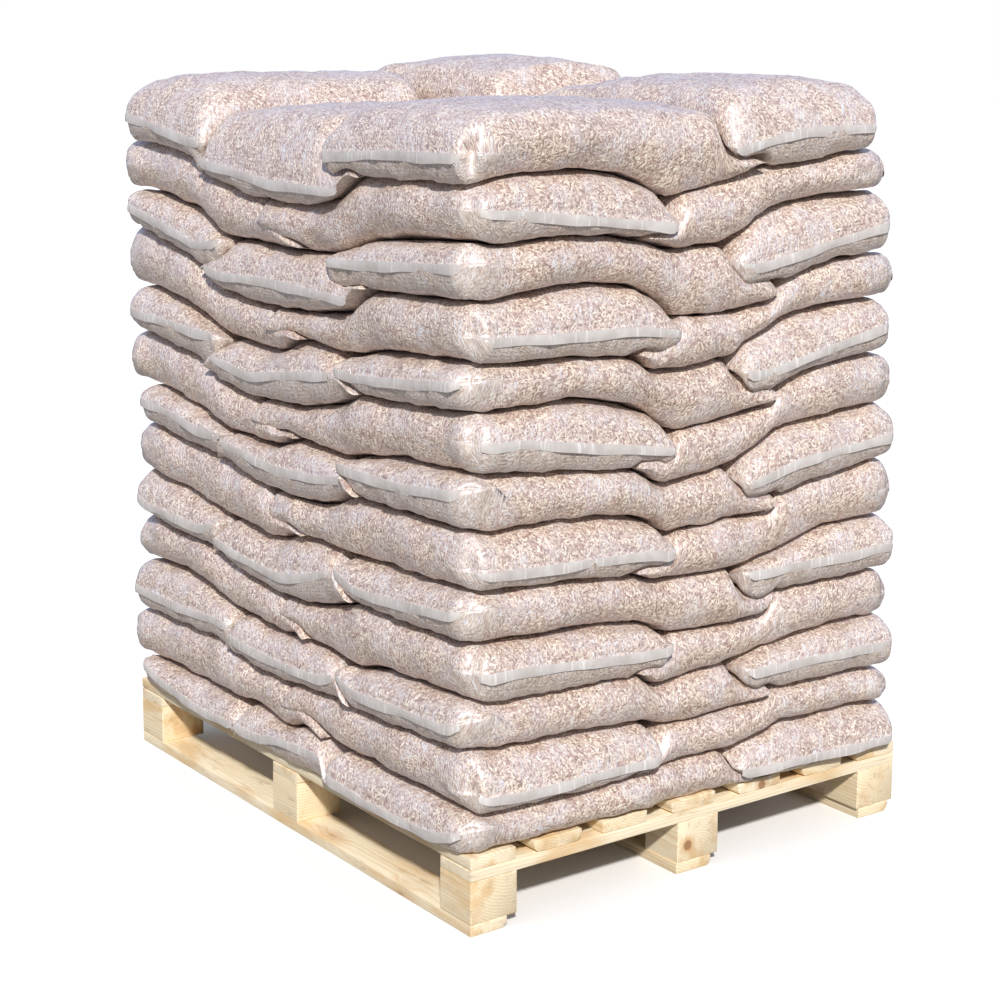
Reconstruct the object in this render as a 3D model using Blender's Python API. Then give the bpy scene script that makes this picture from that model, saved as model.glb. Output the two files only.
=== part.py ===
"""Pallet of sacks: thirteen courses of filled film sacks on a wooden block pallet.

Metres, +Z up. The origin is on the floor under the middle of the pallet, +X runs along the
deck boards and +Y along the stringer boards. Each course is one solid that holds five sacks
laid three one way and two the other, and the joints between its sacks are cut into its sides.
Courses change ends as they go up, so every joint is covered by the sacks above it.
"""
import bpy
import bmesh
from mathutils import Vector

# Pallet
PALLET_LENGTH = 1.200
PALLET_WIDTH = 1.000
BOTTOM_BOARD_THICK = 0.020
BOTTOM_BOARD_CHAMFER = 0.008
BLOCK_LENGTH = 0.090
BLOCK_WIDTH = 0.096
BLOCK_HEIGHT = 0.075
MIDDLE_BLOCK_SHIFT = -0.007
STRINGER_WIDTH = 0.090
STRINGER_THICK = 0.020
DECK_THICK = 0.022
FIT = 0.0003

# Bottom boards: name, middle in Y and width
BOTTOM_BOARDS = (("front", -0.4620, 0.076), ("middle", -0.0090, 0.082), ("back", 0.4490, 0.078))

# Each deck board: middle in Y, width, and how far the bark edge takes off its lower corners
DECK_BOARDS = (
    (-0.4530, 0.094, 0.003),
    (-0.3170, 0.102, 0.007),
    (-0.1700, 0.100, 0.004),
    (-0.0120, 0.104, 0.016),
    (0.1480, 0.104, 0.006),
    (0.3080, 0.104, 0.016),
    (0.4500, 0.100, 0.003),
)

# Height of the seat on top of each course but the last, read at six places round the stack.
# Front is the -Y side, where the places are left, middle and right; then come the near,
# middle and far places of the +X side.
SEATS = (
    (0.204, 0.204, 0.216, 0.203, 0.208, 0.225),
    (0.303, 0.291, 0.308, 0.308, 0.279, 0.300),
    (0.414, 0.380, 0.400, 0.393, 0.364, 0.400),
    (0.502, 0.458, 0.498, 0.495, 0.444, 0.491),
    (0.594, 0.566, 0.586, 0.577, 0.542, 0.590),
    (0.694, 0.650, 0.690, 0.680, 0.629, 0.697),
    (0.776, 0.738, 0.778, 0.768, 0.722, 0.803),
    (0.880, 0.815, 0.874, 0.882, 0.812, 0.901),
    (0.976, 0.918, 0.958, 0.956, 0.917, 1.003),
    (1.086, 0.991, 1.056, 1.072, 1.003, 1.087),
    (1.170, 1.101, 1.154, 1.155, 1.122, 1.200),
    (1.264, 1.182, 1.243, 1.261, 1.220, 1.274),
)
COURSES = len(SEATS) + 1

# How far each course reaches to the left and to the back, bottom to top, and its other sides
LEFT_REACH = (
    -0.582, -0.626, -0.612, -0.609, -0.586, -0.600, -0.566, -0.614, -0.590, -0.626, -0.594,
    -0.620, -0.592,
)
BACK_REACH = (
    0.512, 0.484, 0.496, 0.478, 0.480, 0.474, 0.472, 0.470, 0.444, 0.468, 0.450, 0.432, 0.398,
)
RIGHT_REACH = 0.617
FRONT_REACH = {"sack ends": -0.522, "sack side": -0.514}

# Joints between the sacks of a course. Each joint leans: the upper sack's nose lies at the
# first place, half up the course, and the lower sack's end at the second place, on the seat.
FRONT_JOINTS = {
    1: ((-0.160, -0.185), (0.170, 0.195)),
    2: ((0.015, 0.150),),
    3: ((-0.175, -0.198), (0.205, 0.245)),
    4: ((0.000, 0.092),),
    5: ((-0.215, -0.238), (0.205, 0.252)),
    6: ((-0.040, 0.084),),
    7: ((-0.190, -0.215), (0.215, 0.272)),
    8: ((-0.082, 0.060),),
    9: ((-0.200, -0.262), (0.212, 0.278)),
    10: ((-0.022, 0.092),),
    11: ((-0.185, -0.268), (0.190, 0.300)),
    12: ((-0.052, 0.090),),
    13: ((-0.245, -0.272), (0.180, 0.285)),
}
SIDE_JOINTS = {
    1: (0.078, 0.128), 2: (-0.072, -0.140), 3: (0.084, 0.166), 4: (-0.062, -0.148),
    5: (0.080, 0.172), 6: (-0.072, -0.158), 7: (0.066, 0.162), 8: (-0.074, -0.158),
    9: (0.062, 0.158), 10: (-0.066, -0.160), 11: (0.028, 0.158), 12: (-0.088, -0.150),
    13: (-0.010, 0.112),
}
BACK_THIRDS = ((-0.185, -0.235), (0.190, 0.250))
BACK_HALF = ((-0.050, 0.060),)

# Outline of the seats between the courses, which lies in from the sides of the sacks
SEAT_INSET = 0.034
SEAT_BACK_INSET = 0.038
SEAT_RIGHT = 0.581
SEAT_FRONT = -0.483
CORNER_RADIUS = 0.070
CORNER_BEND = 0.414
JOINT_DEPTH = 0.026
JOINT_HALF_WIDTH = 0.026
RIDGE_SHARE = 0.75

# Widths of the hollow that the joints make in the middle of each side of the stack
FRONT_HOLLOW = (0.140, 0.360)
SIDE_HOLLOW = (0.070, 0.210)
SIDE_CREST = 0.300
SIDE_CREST_WIDTH = 0.170

# Side levels of a course: share of its height, and share of its reach past the seats there
SIDE_LEVELS = ((0.0, 0.0), (0.11, 0.68), (0.42, 1.0), (0.80, 0.72), (1.0, 0.0))

# Sacks of the top course: X span, Y span, crown, and how far each of the four edges
# (-X, +X, -Y, +Y) slopes before the top is level
TOP_SACKS = (
    (-0.592, -0.245, -0.522, 0.030, 1.402, (0.090, 0.060, 0.110, 0.050)),
    (-0.245, 0.180, -0.522, 0.030, 1.352, (0.070, 0.060, 0.120, 0.060)),
    (0.180, 0.617, -0.522, 0.030, 1.374, (0.080, 0.100, 0.110, 0.060)),
    (-0.592, -0.020, -0.010, 0.398, 1.434, (0.200, 0.200, 0.110, 0.110)),
    (-0.020, 0.617, -0.010, 0.398, 1.410, (0.220, 0.110, 0.100, 0.110)),
)
TOP_GROOVE = 0.092
TOP_SHOULDER = 0.55
TOP_POWER = 2.2

PINE = (0.82, 0.64, 0.40, 1.0)
FILLED_FILM = (0.60, 0.48, 0.41, 1.0)

BLOCK_BASE = BOTTOM_BOARD_THICK + FIT
STRINGER_BASE = BLOCK_BASE + BLOCK_HEIGHT + FIT
DECK_BASE = STRINGER_BASE + STRINGER_THICK + FIT
DECK_TOP = DECK_BASE + DECK_THICK


def clear_scene():
    for obj in list(bpy.data.objects):
        bpy.data.objects.remove(obj, do_unlink=True)


def new_collection(name):
    collection = bpy.data.collections.new(name)
    bpy.context.scene.collection.children.link(collection)
    return collection


def plain_material(name, colour, roughness):
    material = bpy.data.materials.new(name)
    material.use_nodes = True
    shader = material.node_tree.nodes["Principled BSDF"]
    shader.inputs["Base Color"].default_value = colour
    shader.inputs["Roughness"].default_value = roughness
    shader.inputs["Metallic"].default_value = 0.0
    return material


def add_object(name, bm, place, material, collection):
    mesh = bpy.data.meshes.new(name)
    bm.to_mesh(mesh)
    bm.free()
    mesh.materials.append(material)
    obj = bpy.data.objects.new(name, mesh)
    obj.location = place
    collection.objects.link(obj)
    return obj


def runs_along(edge, axis):
    across = edge.verts[1].co - edge.verts[0].co
    return abs(across[axis]) > 0.9 * across.length


def sawn_piece(name, size, place, material, collection, off=0.0, off_sides=(-1, 1)):
    """A sawn board or block of this size, its base middle at place.

    off is what a chamfer or a bark edge takes from the lower long edges on the given sides.
    """
    bm = bmesh.new()
    bmesh.ops.create_cube(bm, size=1.0)
    bmesh.ops.scale(bm, vec=Vector(size), verts=bm.verts)
    bmesh.ops.translate(bm, vec=Vector((0, 0, size[2] / 2)), verts=bm.verts)
    if off:
        lower = [
            edge
            for edge in bm.edges
            if runs_along(edge, 0)
            and edge.verts[0].co.z < size[2] / 2
            and (1 if edge.verts[0].co.y > 0 else -1) in off_sides
        ]
        bmesh.ops.bevel(bm, geom=lower, offset=off, segments=2, profile=0.5, affect="EDGES")
    return add_object(name, bm, place, material, collection)


def build_pallet(pine, collection):
    edge_y = PALLET_WIDTH / 2
    edge_x = PALLET_LENGTH / 2
    rows = (
        ("front", -edge_y + BLOCK_WIDTH / 2),
        ("middle", 0.0),
        ("back", edge_y - BLOCK_WIDTH / 2),
    )
    columns = (
        ("left", -edge_x + BLOCK_LENGTH / 2),
        ("centre", MIDDLE_BLOCK_SHIFT),
        ("right", edge_x - BLOCK_LENGTH / 2),
    )
    for row, y, width in BOTTOM_BOARDS:
        sawn_piece(
            f"bottom_board_{row}",
            (PALLET_LENGTH, width, BOTTOM_BOARD_THICK),
            (0, y, 0),
            pine,
            collection,
            BOTTOM_BOARD_CHAMFER,
            (1,),
        )
    for row, y in rows:
        for column, x in columns:
            sawn_piece(
                f"block_{row}_{column}",
                (BLOCK_LENGTH, BLOCK_WIDTH, BLOCK_HEIGHT),
                (x, y, BLOCK_BASE),
                pine,
                collection,
            )
    for column, x in columns:
        sawn_piece(
            f"stringer_board_{column}",
            (STRINGER_WIDTH, PALLET_WIDTH, STRINGER_THICK),
            (x, 0, STRINGER_BASE),
            pine,
            collection,
        )
    for number, (y, width, bark) in enumerate(DECK_BOARDS, 1):
        sawn_piece(
            f"deck_board_{number}",
            (PALLET_LENGTH, width, DECK_THICK),
            (0, y, DECK_BASE),
            pine,
            collection,
            bark,
        )


def blend(low, high, value):
    share = min(max((value - low) / (high - low), 0.0), 1.0)
    return share * share * (3 - 2 * share)


def seat_outline(seat):
    """Left, right, front and back edge of the seat on top of this many courses."""
    below = max(seat - 1, 0)
    above = min(seat, COURSES - 1)
    left = max(LEFT_REACH[below], LEFT_REACH[above]) + SEAT_INSET
    back = min(BACK_REACH[below], BACK_REACH[above]) - SEAT_BACK_INSET
    return left, SEAT_RIGHT, SEAT_FRONT, back


def rim_height(seat, x, y):
    """Height of a seat at its rim: a tilted plane with a hollow in the middle of each side."""
    if seat == 0:
        return DECK_TOP
    left, front_middle, right, near, side_middle, far = SEATS[seat - 1]
    along = (x + PALLET_LENGTH / 2) / PALLET_LENGTH
    depth = (y + PALLET_WIDTH / 2) / PALLET_WIDTH
    plane = left + along * (right - left) + depth * (far - right)
    front_hollow = (left + right) / 2 - front_middle
    side_hollow = (right + far) / 2 - side_middle
    crest_depth = (PALLET_WIDTH / 2 - SIDE_CREST) / PALLET_WIDTH
    crest = near - right - crest_depth * (far - right)
    crest_share = 1 - blend(0.0, SIDE_CREST_WIDTH, abs(y + SIDE_CREST))
    return (
        plane
        - front_hollow * (1 - blend(*FRONT_HOLLOW, abs(x)))
        - side_hollow * (1 - blend(*SIDE_HOLLOW, abs(y)))
        + crest * crest_share
    )


def inner_height(seat):
    if seat == 0:
        return DECK_TOP
    left, front_middle, right, near, side_middle, far = SEATS[seat - 1]
    return (left + front_middle + right + near + side_middle + far) / 6


def round_corner(x, y, left, right, front, back, radius):
    """Pulls a point of a square corner onto quarter circles round the corner's middle."""
    middle_x = min(max(x, left + radius), right - radius)
    middle_y = min(max(y, front + radius), back - radius)
    dx = x - middle_x
    dy = y - middle_y
    if not dx or not dy:
        return x, y
    shrink = max(abs(dx), abs(dy)) / (dx * dx + dy * dy) ** 0.5
    return middle_x + dx * shrink, middle_y + dy * shrink


INNER_X = (-0.400, -0.300, -0.240, -0.180, -0.110, -0.040, 0.030, 0.090, 0.150, 0.210, 0.270, 0.400)
INNER_Y = (-0.300, -0.190, -0.130, -0.070, 0.000, 0.060, 0.120, 0.180, 0.280)
COLUMNS = len(INNER_X) + 6
ROWS = len(INNER_Y) + 6
RING = 2


def grid_line(number, low, high, inner):
    """Place of one cut across a seat: three at each rounded corner and the inner ones between."""
    bend = CORNER_RADIUS * (1 - CORNER_BEND)
    steps = (0.0, bend, CORNER_RADIUS)
    if number < 3:
        return low + steps[number]
    if number >= len(inner) + 3:
        return high - steps[len(inner) + 5 - number]
    return inner[number - 3]


def side_joints(course):
    """Where the joints between sacks meet the front, back and both ends of a course."""
    behind = BACK_HALF if course % 2 == 1 else BACK_THIRDS
    return FRONT_JOINTS[course], behind, (SIDE_JOINTS[course],)


def joint_place(joint, level):
    """Where a leaning joint is at this share of the course's height."""
    nose, end = joint
    lean = min(max((level - 0.1) / 0.6, 0.0), 1.0)
    return end + lean * (nose - end)


def sides_at(course, column, row):
    """Which joints a rim point of the grid may lie on, and its number along that side."""
    in_front, in_back, at_ends = side_joints(course)
    if row == 0 and 2 < column < COLUMNS - 3:
        return in_front, INNER_X, column - 3
    if row == ROWS - 1 and 2 < column < COLUMNS - 3:
        return in_back, INNER_X, column - 3
    if column in (0, COLUMNS - 1) and 2 < row < ROWS - 3:
        return at_ends, INNER_Y, row - 3
    return (), (), 0


def place_at_joint(course, column, row, level):
    """Moves a rim point to the joint it belongs to: its new place and its share of the depth."""
    joints, lines, number = sides_at(course, column, row)
    for joint in joints:
        place = joint_place(joint, level)
        middle = nearest(lines, place)
        if abs(number - middle) <= 1:
            return place + (number - middle) * JOINT_HALF_WIDTH, 1.0 - abs(number - middle)
    return None, 0.0


def reach_of(course, x, y, outward):
    """How far the side of a course stands out past a point of its rim."""
    three_in_front = course % 2 == 1
    front = FRONT_REACH["sack ends" if three_in_front else "sack side"]
    along_x = RIGHT_REACH - x if outward.x > 0 else x - LEFT_REACH[course - 1]
    along_y = BACK_REACH[course - 1] - y if outward.y > 0 else y - front
    share = outward.x * outward.x
    return share * along_x + (1 - share) * along_y


def crown_height(x, y, floor):
    """Height of the top course's upper face: a full crown on each sack, a groove between."""
    best = floor + TOP_GROOVE
    for low_x, high_x, low_y, high_y, crown, slopes in TOP_SACKS:
        depths = (x - low_x, high_x - x, y - low_y, high_y - y)
        if min(depths) <= 0:
            continue
        rise = 1.0
        for depth, slope in zip(depths, slopes):
            gone = max(1 - depth / slope, 0.0)
            rise *= max(1 - gone ** TOP_POWER, 0.0) ** TOP_SHOULDER
        best = max(best, floor + TOP_GROOVE + (crown - floor - TOP_GROOVE) * rise)
    return best


def place_on_seat(seat, column, row):
    """Plan position and height of one grid point of a seat."""
    left, right, front, back = seat_outline(seat)
    x = grid_line(column, left, right, INNER_X)
    y = grid_line(row, front, back, INNER_Y)
    depth = min(column, row, COLUMNS - 1 - column, ROWS - 1 - row)
    x, y = round_corner(x, y, left, right, front, back, CORNER_RADIUS)
    level = min(seat, COURSES - 1)
    ring_share = (1.0, RIDGE_SHARE, 0.0)[min(depth, RING)]
    rim = rim_height(level, x, y)
    height = inner_height(level) + ring_share * (rim - inner_height(level))
    if seat == COURSES:
        height = crown_height(x, y, height)
    return x, y, height


def rim_heights(course, x, y):
    """Height of a course's underside and of its top at this place on its rim."""
    low = rim_height(course - 1, x, y) + FIT
    high = rim_height(min(course, COURSES - 1), x, y)
    if course == COURSES:
        high = crown_height(x, y, high)
    return low, high


def nearest(lines, value):
    return min(range(len(lines)), key=lambda number: abs(lines[number] - value))


def cut_block():
    """A block cut into one step for each column, row and side level of a course."""
    bm = bmesh.new()
    bmesh.ops.create_cube(bm, size=1.0)
    size = (COLUMNS - 1, ROWS - 1, len(SIDE_LEVELS) - 1)
    for vert in bm.verts:
        for axis in range(3):
            vert.co[axis] = size[axis] if vert.co[axis] > 0 else 0
    for axis in range(3):
        across = Vector((0, 0, 0))
        across[axis] = 1
        for step in range(1, size[axis]):
            everything = bm.verts[:] + bm.edges[:] + bm.faces[:]
            bmesh.ops.bisect_plane(
                bm, geom=everything, dist=1e-6, plane_co=across * step, plane_no=across
            )
    return bm


def join_inner_faces(bm, level):
    """Makes the level stretch inside a seat's ring one flat face."""
    inside = []
    for face in bm.faces:
        middle = face.calc_center_median()
        in_columns = RING < middle.x < COLUMNS - 1 - RING
        in_rows = RING < middle.y < ROWS - 1 - RING
        if abs(middle.z - level) < 1e-6 and in_columns and in_rows:
            inside.append(face)
    bmesh.ops.dissolve_faces(bm, faces=inside, use_verts=False)


def sack_course(course, material, collection):
    """One course of five sacks, between the seat under it and the seat above it."""
    bm = cut_block()
    join_inner_faces(bm, 0)
    if course < COURSES:
        join_inner_faces(bm, len(SIDE_LEVELS) - 1)
    base = inner_height(course - 1)
    for vert in bm.verts:
        column, row, step = (round(value) for value in vert.co)
        level, reach_share = SIDE_LEVELS[step]
        low = Vector(place_on_seat(course - 1, column, row))
        low.z += FIT
        high = Vector(place_on_seat(course, column, row))
        point = low.lerp(high, level)
        if 0 < level < 1:
            left, right, front, back = seat_outline(course)
            centre_x = min(max(point.x, left + CORNER_RADIUS), right - CORNER_RADIUS)
            centre_y = min(max(point.y, front + CORNER_RADIUS), back - CORNER_RADIUS)
            outward = Vector((point.x - centre_x, point.y - centre_y, 0)).normalized()
            moved, joint_share = place_at_joint(course, column, row, level)
            if moved is not None:
                axis = 0 if row in (0, ROWS - 1) else 1
                point[axis] = moved
                under, over = rim_heights(course, point.x, point.y)
                point.z = under + level * (over - under)
            reach = reach_of(course, point.x, point.y, outward)
            point += outward * (reach * reach_share - JOINT_DEPTH * joint_share)
        point.z -= base
        vert.co = point
    bmesh.ops.triangulate(bm, faces=bm.faces[:], quad_method="SHORT_EDGE")
    name = f"sack_layer_{course:02d}"
    return add_object(name, bm, (0, 0, base), material, collection)


def main():
    clear_scene()
    collection = new_collection("pallet_of_sacks")
    pine = plain_material("pine", PINE, 0.75)
    filled_film = plain_material("filled_film", FILLED_FILM, 0.35)
    build_pallet(pine, collection)
    for course in range(1, COURSES + 1):
        sack_course(course, filled_film, collection)


main()
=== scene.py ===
"""Looks of the pallet of sacks: thirteen courses of clear film sacks of wood pellets.

Metres, +Z up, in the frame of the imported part. Every sack is one closed film form that lies
between the seat under its course and the seat on top of it. The tables of heights are in
millimetres.
"""

import math

import bmesh
import bpy
import numpy as np
from mathutils import Matrix, Vector


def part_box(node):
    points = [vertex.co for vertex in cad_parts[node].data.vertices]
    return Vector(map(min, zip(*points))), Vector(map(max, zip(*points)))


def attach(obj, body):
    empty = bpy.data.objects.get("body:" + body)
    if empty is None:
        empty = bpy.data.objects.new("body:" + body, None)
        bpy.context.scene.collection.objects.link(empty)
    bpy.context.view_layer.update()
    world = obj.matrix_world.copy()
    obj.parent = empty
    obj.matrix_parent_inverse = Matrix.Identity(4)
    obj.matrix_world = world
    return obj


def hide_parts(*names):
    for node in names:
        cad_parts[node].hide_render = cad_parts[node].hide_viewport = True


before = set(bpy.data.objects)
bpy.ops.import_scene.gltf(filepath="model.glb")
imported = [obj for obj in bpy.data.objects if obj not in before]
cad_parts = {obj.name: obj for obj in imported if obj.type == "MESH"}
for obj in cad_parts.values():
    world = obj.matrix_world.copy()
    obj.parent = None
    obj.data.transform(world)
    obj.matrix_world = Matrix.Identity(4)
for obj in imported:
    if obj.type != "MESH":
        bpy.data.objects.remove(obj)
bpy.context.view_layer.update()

MM = 0.001
COURSES = 13

# The face that the lowest sacks lie on, and how far film stays off what it touches
DECK_TOP = 0.1379
CLEARANCE = 0.0007

# Heights along the front of each seat, bottom to top: place in X, height
FRONT_SEATS = (
    ((-600, 200), (-400, 204), (-260, 206), (-100, 212), (4, 200), (60, 220), (200, 216),
     (244, 210), (300, 216), (500, 218), (600, 216)),
    ((-600, 300), (-540, 302), (-400, 306), (-300, 308), (-244, 316), (-204, 302), (-100, 290),
     (0, 290), (100, 298), (200, 306), (300, 302), (500, 314), (600, 322)),
    ((-600, 406), (-540, 412), (-400, 418), (-316, 416), (-236, 400), (-200, 388), (-100, 382),
     (-12, 376), (52, 394), (100, 388), (200, 380), (244, 380), (340, 398), (500, 404),
     (600, 410)),
    ((-600, 506), (-524, 506), (-400, 496), (-260, 492), (-180, 476), (-100, 462), (0, 458),
     (100, 460), (180, 476), (244, 496), (400, 498), (540, 500), (600, 508)),
    ((-600, 600), (-556, 600), (-400, 588), (-300, 574), (-200, 562), (-12, 558), (36, 580),
     (100, 580), (220, 576), (400, 584), (600, 590)),
    ((-600, 704), (-524, 700), (-400, 688), (-212, 678), (-140, 662), (-60, 650), (20, 650),
     (100, 648), (180, 664), (236, 688), (400, 688), (600, 692)),
    ((-600, 784), (-540, 780), (-400, 772), (-300, 756), (-200, 736), (-100, 732), (-20, 732),
     (36, 756), (100, 754), (220, 750), (300, 768), (400, 778), (600, 784)),
    ((-600, 890), (-500, 884), (-400, 872), (-300, 860), (-212, 826), (-100, 812), (0, 816),
     (100, 822), (200, 844), (260, 868), (400, 872), (500, 878), (600, 886)),
    ((-600, 982), (-500, 976), (-400, 968), (-300, 948), (-200, 916), (-100, 910), (-28, 908),
     (10, 914), (50, 938), (100, 940), (200, 932), (260, 936), (300, 948), (400, 956),
     (500, 960), (600, 964)),
    ((-600, 1098), (-540, 1094), (-500, 1086), (-400, 1068), (-290, 1046), (-212, 1004),
     (-100, 992), (0, 990), (140, 996), (236, 1010), (290, 1052), (380, 1054), (500, 1058),
     (600, 1064)),
    ((-600, 1178), (-500, 1172), (-400, 1160), (-300, 1146), (-200, 1106), (0, 1100),
     (100, 1102), (200, 1108), (244, 1124), (300, 1140), (400, 1150), (600, 1160)),
    ((-600, 1276), (-548, 1264), (-420, 1260), (-308, 1245), (-270, 1218), (-180, 1200),
     (-100, 1186), (0, 1180), (100, 1180), (180, 1190), (228, 1212), (260, 1238), (300, 1240),
     (500, 1244), (600, 1242)),
)

# Heights along the right-hand side of each seat, bottom to top: place in Y, height
SIDE_SEATS = (
    ((-500, 213), (-464, 204), (-300, 202), (-200, 202), (-80, 206), (0, 208), (72, 206),
     (120, 218), (200, 228), (300, 228), (436, 222), (500, 220)),
    ((-500, 320), (-440, 311), (-300, 308), (-200, 304), (-128, 298), (-80, 280), (0, 278),
     (120, 284), (152, 288), (172, 304), (300, 302), (448, 298), (500, 296)),
    ((-500, 409), (-448, 396), (-300, 392), (-136, 386), (-112, 358), (0, 366), (96, 374),
     (160, 386), (240, 396), (300, 400), (440, 400), (500, 398)),
    ((-500, 507), (-472, 500), (-400, 496), (-300, 494), (-200, 488), (-136, 480), (-100, 466),
     (-72, 448), (0, 444), (80, 444), (146, 449), (166, 488), (300, 488), (444, 492),
     (500, 492)),
    ((-500, 587), (-400, 582), (-300, 576), (-200, 568), (-144, 562), (-112, 546), (0, 542),
     (80, 542), (160, 554), (240, 576), (300, 586), (424, 592), (500, 594)),
    ((-500, 690), (-456, 678), (-300, 680), (-240, 678), (-160, 668), (-112, 650), (-84, 628),
     (0, 628), (80, 633), (154, 634), (172, 664), (240, 678), (300, 686), (420, 702),
     (500, 706)),
    ((-500, 783), (-400, 774), (-300, 766), (-200, 756), (-144, 748), (-104, 718), (0, 722),
     (60, 732), (100, 748), (160, 780), (240, 794), (300, 799), (400, 806), (500, 808)),
    ((-500, 884), (-456, 878), (-300, 884), (-240, 878), (-160, 860), (-112, 840), (-80, 812),
     (-64, 806), (40, 814), (152, 830), (170, 868), (240, 886), (300, 894), (412, 904),
     (500, 908)),
    ((-500, 963), (-400, 956), (-300, 956), (-200, 948), (-152, 942), (-124, 918), (-80, 914),
     (0, 918), (60, 926), (100, 950), (160, 978), (200, 988), (300, 999), (400, 1006),
     (500, 1008)),
    ((-500, 1063), (-464, 1058), (-400, 1066), (-300, 1074), (-240, 1073), (-160, 1064),
     (-112, 1044), (-80, 1016), (-64, 1004), (0, 1002), (80, 1008), (150, 1014), (170, 1052),
     (240, 1070), (300, 1082), (420, 1090), (500, 1094)),
    ((-500, 1159), (-440, 1148), (-300, 1155), (-200, 1150), (-140, 1136), (-80, 1121),
     (0, 1122), (28, 1122), (72, 1138), (100, 1154), (140, 1180), (200, 1190), (300, 1198),
     (400, 1201), (500, 1203)),
    ((-500, 1241), (-472, 1250), (-400, 1258), (-300, 1262), (-240, 1258), (-180, 1248),
     (-136, 1232), (-88, 1206), (0, 1222), (60, 1238), (100, 1252), (160, 1254), (240, 1260),
     (304, 1271), (388, 1278), (500, 1280)),
)

# How far each course reaches to the left and to the back, bottom to top
LEFT_REACH = (-575, -625, -608, -611, -582, -595, -562, -612, -588, -628, -590, -616, -584)
BACK_REACH = (500, 485, 485, 479, 479, 475, 471, 468, 447, 466, 449, 434, 398)
FRONT_END = -0.524
FRONT_SIDE = -0.514
RIGHT_SIDE = 0.612
RIGHT_END = 0.622

# Odd courses: where the two joints between the three sack ends in front run. Of each joint,
# the upper end is the tip of the sack that lies on top and the lower that of the other.
THIRDS = {
    1: ((-160, -185), (170, 195)),
    3: ((-175, -198), (205, 245)),
    5: ((-215, -238), (205, 252)),
    7: ((-190, -215), (215, 272)),
    9: ((-200, -262), (212, 278)),
    11: ((-185, -268), (190, 300)),
    13: ((-245, -272), (180, 285)),
}

# Even courses: where the joint between the two long sacks in front runs, upper and lower end
HALVES = {2: (15, 150), 4: (0, 92), 6: (-40, 84), 8: (-82, 60), 10: (-22, 92), 12: (-52, 90)}

# Where the joint on the left and right sides runs, in Y: its top, and the lower sack's end
SIDE_JOINTS = {
    1: (76, 140), 3: (86, 158), 5: (80, 164), 7: (74, 158), 9: (66, 154), 11: (50, 152),
    13: (30, 110),
    2: (-98, -150), 4: (-76, -148), 6: (-76, -156), 8: (-78, -156), 10: (-72, -156),
    12: (-82, -146),
}

# Height of the weld along each sack end that faces the front or the right, bottom to top
FRONT_WELDS = {
    1: (((-572, 188), (-500, 170), (-300, 152), (-170, 160)),
        ((-170, 160), (-100, 160), (0, 180), (140, 188), (190, 172)),
        ((150, 160), (300, 150), (500, 158), (600, 188))),
    3: (((-612, 344), (-340, 348), (-236, 356), (-190, 352)),
        ((-200, 332), (0, 328), (140, 336), (204, 356), (240, 350)),
        ((205, 356), (244, 340), (540, 356), (636, 388))),
    5: (((-596, 552), (-540, 530), (-300, 527), (-252, 540), (-215, 545)),
        ((-240, 514), (-100, 500), (0, 496), (100, 516), (196, 546), (250, 540)),
        ((205, 546), (260, 526), (540, 548), (652, 566))),
    7: (((-556, 746), (-400, 736), (-300, 722), (-200, 722)),
        ((-215, 712), (-100, 704), (0, 696), (140, 704), (270, 722)),
        ((200, 738), (400, 736), (652, 762))),
    9: (((-596, 924), (-260, 912), (-205, 912)),
        ((-290, 876), (-200, 866), (-100, 856), (100, 884), (196, 896), (275, 886)),
        ((205, 906), (260, 900), (652, 936))),
    11: (((-592, 1136), (-400, 1104), (-300, 1080), (-200, 1092)),
         ((-290, 1046), (-212, 1032), (0, 1038), (236, 1030), (300, 1034)),
         ((168, 1090), (230, 1094), (636, 1120))),
    13: (((-600, 1318), (-300, 1276), (-250, 1270)),
         ((-300, 1242), (0, 1214), (188, 1212), (280, 1226)),
         ((152, 1272), (400, 1286), (600, 1288))),
}
SIDE_WELDS = {
    2: ((-500, 246), (-400, 237), (-75, 237)),
    4: ((-500, 452), (-400, 452), (-200, 436), (-60, 430)),
    6: ((-500, 622), (-456, 621), (-96, 608), (-60, 594)),
    8: ((-500, 832), (-400, 832), (-80, 784), (-60, 776)),
    10: ((-500, 1004), (-416, 1000), (-150, 996), (-60, 982)),
    12: ((-500, 1204), (-400, 1200), (-80, 1164)),
    1: ((80, 176), (110, 168), (480, 158)),
    3: ((84, 362), (110, 356), (484, 348)),
    5: ((80, 540), (104, 536), (468, 538)),
    7: ((66, 704), (104, 698), (216, 728), (452, 748)),
    9: ((62, 900), (136, 896), (432, 956)),
    11: ((30, 1100), (100, 1082), (432, 1142)),
    13: ((30, 1288), (62, 1286), (208, 1316), (384, 1318)),
}

# Height of a weld that doesn't show, as a share of its course's height
HIDDEN_WELD = 0.42

# Crowns of the sacks of the top course, three in front and then two behind: height, and how
# far the film rises to it from the outer end and from the inner end
CROWNS = (
    (1.402, 0.20, 0.15),
    (1.352, 0.20, 0.24),
    (1.374, 0.20, 0.34),
    (1.436, 0.24, 0.38),
    (1.408, 0.16, 0.36),
)

# Height over which the joints of the top course are shared out
CROWN_STEP = 0.125

# Half the slot that stays open between two courses along their outline, and its depth
SLOT = 0.0014
SLOT_DEPTH = 0.045

# How far a weld strip reaches down from its weld
WELD_STRIP = 0.017

# How far in from the outline the film opens to its full height, over and under the place
# where it closes: at a sack's ends, and at its sides
END_REACH = 0.066
END_UNDER = 0.024
SIDE_REACH = 0.040
SIDE_UNDER = 0.030


# Shading helpers. Each adds its node to the tree that its sockets belong to.

FLOAT = "NodeSocketFloat"
VECTOR = "NodeSocketVector"
GEOMETRY = "NodeSocketGeometry"
MATERIAL = "NodeSocketMaterial"


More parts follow.
